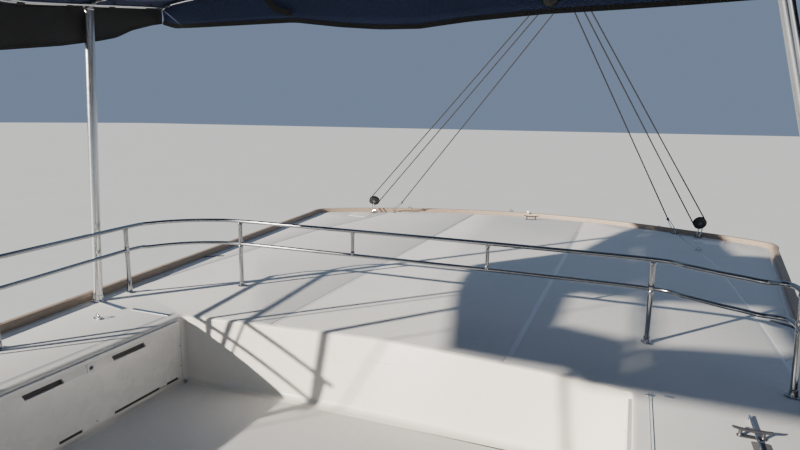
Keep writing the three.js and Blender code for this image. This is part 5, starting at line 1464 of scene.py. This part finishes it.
def make_hull_trims():
    """Windows, rub rail, the rail at the deck's edge and the decks' grip."""
    for name, grow, off, look in (("hull_pane", 0.0, 0.006, "glass"),
                                  ("hull_pane_gasket", 0.02, 0.003, "rubber")):
        panes = [hull_pane(a, b, side, grow, off) for side in (1, -1) for a, b in HULL_PANES]
        add_pair(name, merged(*panes), look)
    bead = [(-0.004, -0.016), (0.008, -0.012), (0.013, 0), (0.008, 0.012), (-0.004, 0.016)]
    lip = [(-0.012, -0.003), (0.012, -0.003), (0.009, 0.028), (-0.009, 0.028)]
    strips, edges = [], []
    for side in (1, -1):
        along = [(x, 0.42 * deck_z(x)) for x in spaced(-9.0, 9.2, 60)]
        line = [(x, HULL_Y + side * hull_half(x, z), z) for x, z in along]
        strips.append(sweep(line, [(-side * a, b) for a, b in bead], up=UP))
        edge = [(x, HULL_Y + side * (deck_half(x) - 0.035), deck_z(x)) for x in spaced(-7.9, 9.3, 60)]
        edges.append(sweep(edge, lip, up=UP))
    add_pair("rub_rail", merged(*strips), "rubber")
    add_pair("deck_edge_rail", merged(*edges), "alloy")

    def outer(x):
        return HULL_Y + deck_half(x) - 0.15

    def inner(x):
        return max(HULL_Y - deck_half(x) + 0.12, 2.83 if x < 5.6 else 0)

    decks = [strip_on_deck(spaced(-5.95, 1.9, 30), lambda x: 2.96, outer),
             strip_on_deck(spaced(2.1, 8.7, 30), inner, outer)]
    add_pair("hull_grip", merged(*decks), "nonskid", thick=0.003)


def make_hulls():
    rings = [[(p.x, HULL_Y + p.y, p.z) for p in s] + [(p.x, HULL_Y - p.y, p.z) for p in s[:0:-1]]
             for s in STATIONS]
    aft = STERN_X - 0.01
    scoop = [(aft, 0.7), (-7.95, DECK_Z), (-7.95, 2.4), (aft, 2.4)]
    cutters = [moved(slab(scoop, HULL_Y - 1.3, HULL_Y + 1.3, 0.0), STAND_XZ),
               brick((-7.65, HULL_Y - 0.52, -0.3), (-6.15, HULL_Y + 0.52, 2.4), 0.02)]
    treads = []
    for fore, z in STERN_STEPS:
        cutters.append(brick((aft, HULL_Y - STEP_HALF, z), (fore, HULL_Y + STEP_HALF, 2.4), 0.015))
        line = oblong(max(aft, STERN_X) + 0.035, HULL_Y - 0.57, fore - 0.03, HULL_Y + 0.57, 0.03)
        treads.append(slab(line, z - 0.001, z + PANEL, 0.0015))
        aft = fore - 0.01
    add_pair("hull", carved(loft(rings), *cutters, overlap=True), "hull", instead=["hull_*"], crease=28)
    add_pair("stern_treads", merged(*treads), "nonskid")
    keel, blade = (loft([foil_ring(*row) for row in table]) for table in (KEEL, RUDDER))
    add_pair("keel", keel, "antifoul")
    stock = tube([(-8.45, HULL_Y, -0.56), (-8.45, HULL_Y, 0.04)], 0.03, 20)
    add_pair("rudder", merged(blade, stock), "antifoul", "rudder_*", ["rudder_*"])


make_hulls()
make_hull_trims()


# House, doors, cockpit and interior

SOLE = [(-7.6, -2.5), (-2.97, -2.5), (-2.97, 2.5), (-3.67, 2.5), (-3.67, 1.89), (-6.43, 1.89), (-6.43, 2.5),
        (-7.6, 2.5)]


# CAD nodes that keep their shape: finish, width of the softened edges and node names
KEPT_NODES = [
    ("gelcoat", 0.014, "bridgedeck catwalk house_side_* house_front aft_bulkhead roof_support_*"),
    ("gelcoat", 0.014, "helm_console helm_seat"),
    ("glass", 0.0, "side_glass_* front_glass bulkhead_glass_* sliding_door_glass fixed_door_glass"),
    ("alloy", 0.003, "crossbeam"),
    ("alloy", 0.006, "sliding_door"),
    ("joinery", 0.014, "cockpit_table saloon_table saloon_seat galley"),
    ("engine", 0.01, "engine_port engine_starboard"),
    ("bronze", 0.002, "propeller_*"),
    ("nonskid", 0.01, "engine_hatch_*"),
]


def make_house():
    for look, bevel, names in KEPT_NODES:
        for name in names.split():
            for side in ("port", "starboard") if "*" in name else ("",):
                repaint(look, name.replace("*", side), bevel)
    for name, line in (("cockpit_boards", SOLE), ("saloon_boards", oblong(-2.78, -1.84, 0.88, 1.74))):
        add(name, slab(line, SOLE_Z - 0.001, SOLE_Z + 0.004, 0.001), "floor_teak")
    tops = [oblong(-2.49, 1.76, 1.59, 2.40, 0.01), oblong(1.61, 0.51, 2.19, 1.79, 0.01)]
    add("galley_top", merged(*(slab(line, 2.229, 2.236, 0.003) for line in tops)), "counter")
    rings = [lathe([(0.075, 0), (0.075, 0.008), (0.055, 0.012)], (x, y, 2.235), sides=24)
             for x in (-1.35, -1.10) for y in (1.95, 2.20)]
    hob = slab(oblong(-1.5, 1.82, -0.95, 2.33, 0.02), 2.235, 2.240, 0.002)
    add("galley_hob", merged(hob, *rings), "black")
    pull = [(x, 0.672, z) for x, z in ((-2.932, 2.18), (-2.968, 2.18), (-2.968, 2.46), (-2.932, 2.46))]
    add("door_pull", tube(rounded(pull, 0.02), 0.008, 14), "steel", "saloon_door")
    lift_ring = [(0.034, 0), (0.034, 0.002), (0.028, 0.0035), (0.022, 0.0015), (0.006, 0.0015)]
    rings = [lathe(lift_ring, (x, HULL_Y, 1.8395), sides=24) for x in (-7.45, -6.35)]
    add_pair("hatch_lift_rings", merged(*rings), "steel", "engine_hatch_*")


def grip_bar(a, b, stand, out, radius=0.013):
    """A handhold between two points, standing off the wall on rounded ends."""
    a, b, off = Vector(a), Vector(b), Vector(out) * stand
    return tube(rounded([a, a + off, b + off, b], 0.03, 5), radius, 14)


DASH_AT, DASH_TILT = (2.01, 0, 4.54), -23.6


def on_dash(geo):
    return shift(turned(geo, DASH_TILT, "Y"), *DASH_AT)


def make_dash():
    """Screens, dials, keys and the clutch and throttle levers on the tilted dash."""
    cases, panes = [], []
    for y0, y1 in ((0.24, 0.62), (1.18, 1.56)):
        cases.append(slab(oblong(0.04, y0, 0.31, y1, 0.02), -0.002, 0.014, 0.005))
        panes.append(slab(oblong(0.065, y0 + 0.02, 0.285, y1 - 0.02, 0.008), 0.013, 0.0155, 0.001))
    for y in (0.76, 0.90, 1.04):
        cases.append(slab(oblong(0.10, y - 0.058, 0.216, y + 0.058, 0.018), -0.002, 0.012, 0.004))
        panes.append(lathe([(0.044, 0.010), (0.044, 0.0135), (0.040, 0.0145)], (0.158, y, 0), sides=28))
    cases.append(slab(oblong(0.10, 1.575, 0.24, 1.635, 0.02), -0.002, 0.02, 0.006))
    cases += [brick((0.25, 0.735 + 0.047 * i, 0), (0.285, 0.765 + 0.047 * i, 0.012), 0.003) for i in range(7)]
    levers = []
    for y in (1.592, 1.618):
        levers.append(tube(rounded([(0.17, y, 0.01), (0.18, y, 0.07), (0.14, y, 0.14)], 0.03), 0.005, 12))
        grip_end = [(0.006, -0.02), (0.012, -0.012), (0.013, 0.008), (0.006, 0.016)]
        levers.append(lathe(grip_end, (0.138, y, 0.145), (-0.3, 0, 1), 16))
    for name, parts, look in (("helm_screen_cases", cases, "black"), ("helm_screens", panes, "screen"),
                              ("throttle_levers", levers, "steel")):
        add(name, on_dash(merged(*parts)), look)


def make_helm():
    make_dash()
    bowl = [(0.075, -0.02), (0.075, 0.012), (0.066, 0.030), (0.048, 0.050), (0.024, 0.060), (0.004, 0.062)]
    add("compass", lathe(bowl, (2.33, 0.90, 4.672), sides=32), "screen")
    ring = [(0.082, -0.03), (0.082, 0.008), (0.076, 0.012)]
    add("compass_ring", lathe(ring, (2.33, 0.90, 4.665), sides=32), "black")
    grips = [grip_bar((2.475, y0, 4.30), (2.475, y1, 4.30), 0.035, (1, 0, 0))
             for y0, y1 in ((0.25, 0.75), (1.05, 1.55))]
    add("console_grips", merged(*grips), "steel")
    at, rim = Vector((1.95, 0.90, 4.33)), 0.33
    round_rim = [at + Vector((0, rim * c, rim * d)) for c, d in circle(1, 72)]
    add("wheel_rim", tube(round_rim, 0.015, 16, closed=True), "black", "helm_wheel", ["helm_wheel"])
    spokes, bend = [], ((0.02, 0.02), (0.17, 0.012), (rim - 0.004, 0))
    for k in range(3):
        a = 2 * math.pi * k / 3 + math.pi / 2
        out = Vector((0, math.cos(a), math.sin(a)))
        line = [at + out * reach + Vector((rise, 0, 0)) for reach, rise in bend]
        spokes.append(tube(spline(line, 6), 0.0085, 12))
    hub = [(0.034, -0.02), (0.034, 0.0), (0.030, 0.012), (0.024, 0.03), (0.022, 0.06)]
    add("wheel_spokes", merged(*spokes, lathe(hub, at, (1, 0, 0), 28)), "steel", "helm_wheel")


make_house()
make_helm()


# Cushions


def eased(t):
    """From -1 to 1, with more steps near both ends."""
    return 0.35 * t + 0.65 * math.sin(math.pi / 2 * t)


def pad(name, low, high, instead=(), channels=(), pull=0.014):
    """A crowned cushion whose sides pull in between its corners, with channels sewn across its top."""
    (x0, y0, z0), (x1, y1, z1) = low, high
    middle, half = ((x0 + x1) / 2, (y0 + y1) / 2), ((x1 - x0) / 2, (y1 - y0) / 2)
    thick = z1 - z0
    seam = z0 + 0.46 * thick
    nx, ny = (max(24, round(2 * h / 0.022)) for h in half)

    def point(i, j, top):
        u, v = eased(2 * i / nx - 1), eased(2 * j / ny - 1)
        full = ((1 - abs(u) ** 12) * (1 - abs(v) ** 12)) ** 0.42
        x = middle[0] + u * (half[0] - pull * (1 - v * v) * abs(u) ** 3)
        y = middle[1] + v * (half[1] - pull * (1 - u * u) * abs(v) ** 3)
        if not top:
            return x, y, seam - (seam - z0) * full
        ripple = noise.noise(Vector((x * 7, y * 7, z0))) + 0.6 * noise.noise(Vector((x * 17, y * 17, z0)))
        sewn = sum(math.exp(-(((y if half[1] > half[0] else x) - c) / 0.013) ** 2) for c in channels)
        crowned = 0.80 + 0.17 * (1 - u * u) * (1 - v * v)
        return x, y, seam + (z1 - seam) * full * (crowned + 0.03 * ripple - 0.22 * min(1, sewn))

    tops = {(i, j): point(i, j, True) for i in range(nx + 1) for j in range(ny + 1)}
    verts = [Vector(p) for p in tops.values()]
    number = {key: k for k, key in enumerate(tops)}
    under = dict(number)
    for i in range(1, nx):
        for j in range(1, ny):
            under[i, j] = len(verts)
            verts.append(Vector(point(i, j, False)))
    faces = []
    for i in range(nx):
        for j in range(ny):
            ring = [(i, j), (i + 1, j), (i + 1, j + 1), (i, j + 1)]
            faces.append(tuple(number[k] for k in ring))
            faces.append(tuple(under[k] for k in ring[::-1]))
    cushion = add(name, (verts, faces), "cushion", instead=instead, crease=80)
    border = [(i, 0) for i in range(nx)] + [(nx, j) for j in range(ny)]
    border += [(i, ny) for i in range(nx, 0, -1)] + [(0, j) for j in range(ny, 0, -1)]
    add(f"{name}_piping", tube([tops[k] for k in border], 0.0042, 8, closed=True), "piping")


def row_of_pads(name, low, high, count, axis, node, step):
    """Pads side by side that together fill one cushion's place."""
    gap = 0.006
    for i in range(count):
        a, b = list(low), list(high)
        long = (high[axis] - low[axis]) / count
        a[axis], b[axis] = low[axis] + long * i + gap, low[axis] + long * (i + 1) - gap
        lines = [a[axis] + (b[axis] - a[axis]) * k / step for k in range(1, step)]
        pad(f"{name}_{i}", a, b, [node] if i == 0 else (), lines)


def make_cushions():
    row_of_pads("helm_pad", (0.949, 0.289, 4.1305), (1.401, 1.511, 4.238), 2, 1, "helm_cushion", 2)
    row_of_pads("cockpit_pad", (-6.386, 1.934, 1.7205), (-3.714, 2.546, 1.828), 3, 0, "cockpit_cushion", 3)
    row_of_pads("aft_pad", (-8.266, -1.896, 1.7205), (-7.674, 1.896, 1.828), 4, 1, "aft_cushion", 3)


make_cushions()


# Mast, boom and rigging

MAST_X, MAST_HALF_X, MAST_HALF_Y = 3.05, 0.21, 0.12
BOOM_PIN, BOOM_TURN, BOOM_Z = (2.75, 0, 0), -4, 7.15
# x, half width and height of the sail bag over the boom
BAG_TABLE = [(2.31, 0.15, 0.98), (0.25, 0.19, 0.82), (-3.0, 0.18, 0.60), (-6.55, 0.12, 0.33)]
BAG_RING = [(0.0, 0.0), (0.60, 0.0), (0.78, 0.06), (0.98, 0.26), (0.93, 0.5), (0.78, 0.76), (0.42, 0.93),
            (0.0, 1.0)]
BAG_TIES = 1.1  # distance between the bag's ties
BAG_FORE, BAG_AFT, BAG_Z = 2.31, -6.55, 7.3105
SPREADERS_Z = (11.2, 17.3)
# share of the forestay's length, and radius of the sail rolled on it
FURL_TABLE = [(0.035, 0.060), (0.3, 0.086), (0.86, 0.039), (0.93, 0.015)]
SHROUD_FOOT, SHROUD_HEAD = Vector((1.5, 4.56, 1.83)), Vector((3.05, 0, 23.5))
STAY_FOOT, STAY_HEAD = Vector((9.0, 0, 2.055)), Vector((3.11, 0, 24.0))


def oval(z, scale, sides=40):
    return [(MAST_X + MAST_HALF_X * scale * c, MAST_HALF_Y * scale * d, z) for c, d in circle(1, sides)]


def make_mast():
    taper = [(3.7505, 1), (3.80, 1), (9.0, 1), (15.0, 1), (21.0, 1), (23.8, 0.81), (26.44, 0.625),
             (26.5, 0.58)]
    step = [(0.33, 0.0005), (0.33, 0.03), (0.315, 0.04), (0.25, 0.043)]
    parts = [loft([oval(z, k) for z, k in taper]), lathe(step, (MAST_X, 0, ROOF_Z), sides=48)]
    for z in SPREADERS_Z:
        tip = SHROUD_FOOT.lerp(SHROUD_HEAD, (z - SHROUD_FOOT.z) / (SHROUD_HEAD.z - SHROUD_FOOT.z))
        for side in (1, -1):
            a, b = Vector((MAST_X, 0, z)), Vector((tip.x, side * (tip.y - 0.014), z))
            parts.append(sweep([a.lerp(b, t) for t in (0, 0.5, 1)], circle(0.042, 20, 0.62), up=UP,
                               scale=[1, 0.82, 0.62]))
    parts += [slab(oblong(2.706, -0.054, 2.95, 0.054, 0.03), low, low + 0.025, 0.004, 0.004)
              for low in (6.965, 7.31)]
    parts.append(lathe([(0.020, 6.93), (0.020, 7.37)], BOOM_PIN, sides=20))
    add("mast_tube", merged(*parts), "spar", instead=["mast"])
    aft = MAST_X - MAST_HALF_X + 0.002
    track = [(aft, 0, 7.5), (aft, 0, 21.0), (aft + 0.05, 0, 24.5)]
    add("mast_track", sweep(track, flat_bar(0.012, 0.006), up=(1, 0, 0)), "alloy")
    drum = [(0.05, 0), (0.05, 0.03), (0.034, 0.045), (0.032, 0.10), (0.046, 0.115), (0.046, 0.135),
            (0.02, 0.14)]
    winches = [lathe(drum, (MAST_X - 0.02, side * 0.112, 5.0), (0, side, 0), 28) for side in (1, -1)]
    add("mast_winches", merged(*winches), "steel")


def boom_shape(x, k=1.0):
    """The boom's section: an oval with flattened sides."""
    fuller = [(math.copysign(abs(c) ** 0.7, c), math.copysign(abs(d) ** 0.7, d)) for c, d in circle(1, 32)]
    return [(x, 0.10 * k * c, BOOM_Z + 0.16 * k * d) for c, d in fuller]


def on_boom(geo):
    return turned(geo, BOOM_TURN, "Z", BOOM_PIN)


def make_boom():
    stations = [(2.62, 0.9), (2.60, 0.97), (2.55, 1.0), (-6.86, 1.0), (-6.92, 0.97), (-6.95, 0.88)]
    lug = brick((2.58, -0.038, BOOM_Z - 0.13), (2.784, 0.038, BOOM_Z + 0.13), 0.03)
    holed = carved(lug, lathe([(0.024, 6.9), (0.024, 7.4)], BOOM_PIN, sides=24))
    spar = merged(loft([boom_shape(x, k) for x, k in stations]), holed)
    add("boom_tube", on_boom(spar), "spar", "boom", ["boom"])
    ring = ((-0.022, 0.98), (-0.02, 1.03), (0.02, 1.03), (0.022, 0.98))
    bands = [loft([boom_shape(x + off, k) for off, k in ring]) for x in (2.3, -2.1, -6.6, -6.84)]
    add("boom_bands", on_boom(merged(*bands)), "alloy", "boom")


def bag_ring(x, grow=0.0):
    """A section of the sail bag: full and creased between its ties, drawn in at each of them."""
    half, high = reading(BAG_TABLE, x, 1), reading(BAG_TABLE, x, 2)
    tied = (0.5 + 0.5 * math.cos(2 * math.pi * (x - BAG_FORE) / BAG_TIES)) ** 6
    ring = []
    for p in spline([(a, b, 0) for a, b in BAG_RING], 5):
        p.y = max(0.0, p.y)
        crease = noise.noise(Vector((x * 1.8, p.x * 1.5, p.y * 3))) * 0.7
        crease += noise.noise(Vector((x * 5, 9, p.y * 7))) * 0.3
        wide = half * p.x * (1.0 - 0.09 * tied + 0.05 * crease * (1 - tied)) + grow * (p.x > 0.01)
        ring.append((wide, BAG_Z + high * p.y * (1.0 - (0.07 * (1 - tied) + 0.02 * crease) * p.y ** 1.5)))
    return [(x, y, z) for y, z in ring] + [(x, -y, z) for y, z in ring[-2:0:-1]]


def make_sail_bag():
    bag = loft([bag_ring(x) for x in spaced(BAG_FORE, BAG_AFT, 150)])
    add("sail_bag_cloth", on_boom(bag), "canvas", "boom", ["sail_bag"], crease=50)
    strap = ((0.022, -0.004), (0.020, 0.003), (-0.020, 0.003), (-0.022, -0.004))
    ties = [loft([bag_ring(BAG_FORE - BAG_TIES * i + off, grow) for off, grow in strap], caps=False)
            for i in range(1, 8)]
    add("sail_bag_ties", on_boom(merged(*ties)), "webbing", "boom")
    top = [max(bag_ring(x), key=lambda p: p[2]) for x in spaced(BAG_FORE - 0.03, BAG_AFT + 0.03, 150)]
    zipped = sweep(top, [(-0.010, -0.003), (0.010, -0.003), (0.006, 0.004), (-0.006, 0.004)], up=UP)
    add("sail_bag_zip", on_boom(zipped), "webbing", "boom")


def turnbuckle(foot, head):
    """A rigging screw at the foot of a wire: fork, body and upper thread."""
    profile = [(0.010, 0), (0.012, 0.03), (0.010, 0.05), (0.017, 0.06), (0.018, 0.30), (0.010, 0.31),
               (0.012, 0.34), (0.008, 0.42)]
    return lathe(profile, foot, (head - foot).normalized(), 20)


def wire_to(foot, head):
    return tube([foot, foot.lerp(head, 0.5), foot.lerp(head, 0.9995)], 0.008, 12)


def make_furled_sail():
    """The headsail rolled on its stay: a spiral fold whose edge winds round it."""
    shares = spaced(0.035, 0.93, 260)
    sail, edge = [], []
    for (p, side, top), k in zip(frames([STAY_FOOT.lerp(STAY_HEAD, k) for k in shares]), shares):
        radius, twist = reading(FURL_TABLE, k), 55 * k
        ring = []
        for i in range(28):
            a = 2 * math.pi * i / 28
            r = radius * (0.90 + 0.10 * (((a - twist) / (2 * math.pi)) % 1.0))
            ring.append(p + side * (r * math.cos(a)) + top * (r * math.sin(a)))
        sail.append(ring)
        edge.append(p + (side * math.cos(twist) + top * math.sin(twist)) * (radius * 0.99))
    add("furled_sail", loft(sail), "sailcloth", crease=50)
    add("furled_sail_edge", tube(edge, 0.006, 6), "canvas")


def make_rigging():
    plate = brick((1.44, 4.54, 1.76), (1.56, 4.58, 1.89), 0.006)
    shroud = merged(wire_to(SHROUD_FOOT, SHROUD_HEAD), plate, turnbuckle(SHROUD_FOOT, SHROUD_HEAD))
    add_pair("shroud_wire", shroud, "steel", instead=["shroud_*"])
    stay = STAY_HEAD - STAY_FOOT
    drum = [(0.03, 0.011), (0.106, 0.012), (0.108, 0.0128), (0.07, 0.0135), (0.07, 0.0205), (0.108, 0.0212),
            (0.106, 0.022), (0.03, 0.023)]
    drum = [(r, share * stay.length) for r, share in drum]
    add("stay_drum", lathe(drum, STAY_FOOT, stay.normalized(), 32), "black")
    add("stay_wire", wire_to(STAY_FOOT, STAY_HEAD), "steel", instead=["forestay"])


make_mast()
make_boom()
make_sail_bag()
make_rigging()
make_furled_sail()


# Guard rails, nets and deck gear

GUARD_X = (-7.7, -6.1, -4.4, -2.7, -1.0, 0.7, 2.5, 4.3, 6.0, 7.5, 8.7, 9.25)
GUARD_TOP, GUARD_MID, GUARD_IN = 0.62, 0.32, 0.07


def guard_point(x, height):
    return Vector((x, HULL_Y + reading(HULL_TABLE, x) * 0.985 - GUARD_IN, reading(HULL_TABLE, x, 4) + height))


def make_guard_rails():
    posts = []
    socket = [(0.034, 0), (0.034, 0.008), (0.020, 0.014), (0.018, 0.075), (0.014, 0.08)]
    for x in GUARD_X:
        foot = guard_point(x, -0.01)
        posts += [tube([foot, guard_point(x, GUARD_TOP + 0.006)], 0.0125, 14),
                  lathe(socket, foot + Vector((0, 0, 0.008)), sides=20)]
        posts += [lathe([(0.016, -0.012), (0.016, 0.012)], guard_point(x, height), sides=14)
                  for height in (GUARD_TOP, GUARD_MID)]
    wires = [tube([guard_point(x, height) for x in GUARD_X], 0.0045, 8) for height in (GUARD_TOP, GUARD_MID)]
    top = reading(HULL_TABLE, 9.25, 4) + GUARD_TOP
    turn = [(9.56, 0.06, 0.018), (9.60, 0, 0.018), (9.53, -0.06, 0.012), (9.25, -0.12, 0),
            (8.7, -0.33, -0.02)]
    nose = [guard_point(9.25, GUARD_TOP)] + [(x, HULL_Y + y, top + z) for x, y, z in turn]
    posts.append(tube(spline(nose, 6), 0.0135, 14))
    posts.append(tube([(8.7, HULL_Y - 0.33, 2.0), (8.7, HULL_Y - 0.33, top - 0.02)], 0.0135, 14))
    add_pair("guard_posts", merged(*posts), "steel", instead=["guard_rail_*"])
    add_pair("guard_wires", merged(*wires), "steel")


NET_AFT, NET_FORE, NET_IN, NET_Z = 5.97, 8.875, 0.205, 1.927


def net_edge(x):
    return HULL_Y - hull_half(x, NET_Z) - 0.04


def make_nets():
    xs, steps = spaced(NET_AFT, NET_FORE, 40), spaced(0, 1, 36)
    rows = [[(x, NET_IN + (net_edge(x) - NET_IN) * k,
              NET_Z - 0.006 * math.sin(math.pi * k) * math.sin(math.pi * i / 40)) for k in steps]
            for i, x in enumerate(xs)]
    area = sum((b - a) * (net_edge((a + b) / 2) - NET_IN) for a, b in zip(xs, xs[1:]))
    widest = max(net_edge(x) - NET_IN for x in xs)
    inner, outer = [r[0] for r in rows], [r[-1] for r in rows]
    border = inner + rows[-1][1:] + outer[-2::-1] + rows[0][-2:0:-1]
    lacing = []
    for line, dx, dy in ((inner, 0, -0.033), (outer, 0, 0.037), (rows[0], -0.018, 0), (rows[-1], 0.018, 0)):
        zigzag = [(p.x + dx * (i % 2), p.y + dy * (i % 2), p.z) for i, p in enumerate(spline(line, 2))]
        lacing.append(tube(zigzag, 0.003, 6))
    nets = add_pair("net", grid(rows), "net", instead=["trampoline_*"], crease=60, thick=0.002)
    hems = add_pair("net_hem", sweep(border, flat_bar(0.014, 0.003), closed=True, up=UP), "webbing")
    lacings = add_pair("net_lacing", merged(*lacing), "lacing")


def deck_window(x, y, half, z):
    clear = half - 0.035
    shapes = tile(half, half, 0.07, 0, 0.022, 0.008), tile(clear, clear, 0.045, 0.018, 0.027, 0.004)
    return [shift(shape, x, y, z) for shape in shapes]


def make_lights():
    for side, sign in (("port", 1), ("starboard", -1)):
        at = (9.25, sign * (HULL_Y - 0.12), 2.155 + GUARD_TOP)
        lens = [(0.016, 0.012), (0.024, 0.02), (0.024, 0.055), (0.018, 0.062)]
        look = "lens_red" if side == "port" else "lens_green"
        add(f"side_light_{side}", lathe(lens, at, sides=20), look)
        base = [(0.028, 0.0), (0.028, 0.018), (0.020, 0.022)]
        add(f"side_light_base_{side}", lathe(base, at, sides=20), "black")
    lens = [(0.016, 0.0), (0.024, 0.006), (0.024, 0.04), (0.016, 0.046)]
    add("stern_light", lathe(lens, (-8.90, 0.0, ROOF_Z + 0.062), sides=20), "lens")


def make_deck_gear():
    rims, panes = zip(*(deck_window(x, HULL_Y, 0.26, deck_z(x) - 0.004) for x in (3.2, 5.0, 6.4)))
    add_pair("hull_hatch_frame", merged(*rims), "alloy")
    add_pair("hull_hatch_pane", merged(*panes), "screen")
    cleats = [placed(horn_cleat(0.30, 0.075), x, HULL_Y + deck_half(x) - 0.16, deck_z(x) + 0.003, 90)
              for x in (-6.9, -1.9, 3.4, 8.2)]
    add_pair("hull_cleats", merged(*cleats), "bolt")
    windlass = [(0.10, 0), (0.10, 0.02), (0.062, 0.035), (0.06, 0.10), (0.085, 0.115), (0.085, 0.15),
                (0.04, 0.165)]
    add("windlass", lathe(windlass, (6.4, 0, 1.99), sides=36), "steel")
    roller = [brick((8.95, s * 0.05 - 0.005, 1.985), (9.31, s * 0.05 + 0.005, 2.055), 0.004) for s in (1, -1)]
    roller.append(lathe([(0.03, -0.045), (0.018, 0), (0.03, 0.045)], (9.25, 0, 2.03), (0, 1, 0), 24))
    add("anchor_roller", merged(*roller), "steel")
    add("catwalk_grip", slab(oblong(6.62, -0.145, 8.85, 0.145, 0.03), 1.989, 1.9925, 0.001), "nonskid")
    panels = [slab(oblong(-0.38, y0, 0.38, y1, 0.04), -0.001, 0.0025, 0.001)
              for y0, y1 in ((-2.6, -0.75), (-0.7, 0.7), (0.75, 2.6))]
    add("foredeck_grip", shift(turned(merged(*panels), -2.36, "Y"), 5.52, 0, 1.974), "nonskid")


make_guard_rails()
make_nets()
make_lights()
make_deck_gear()
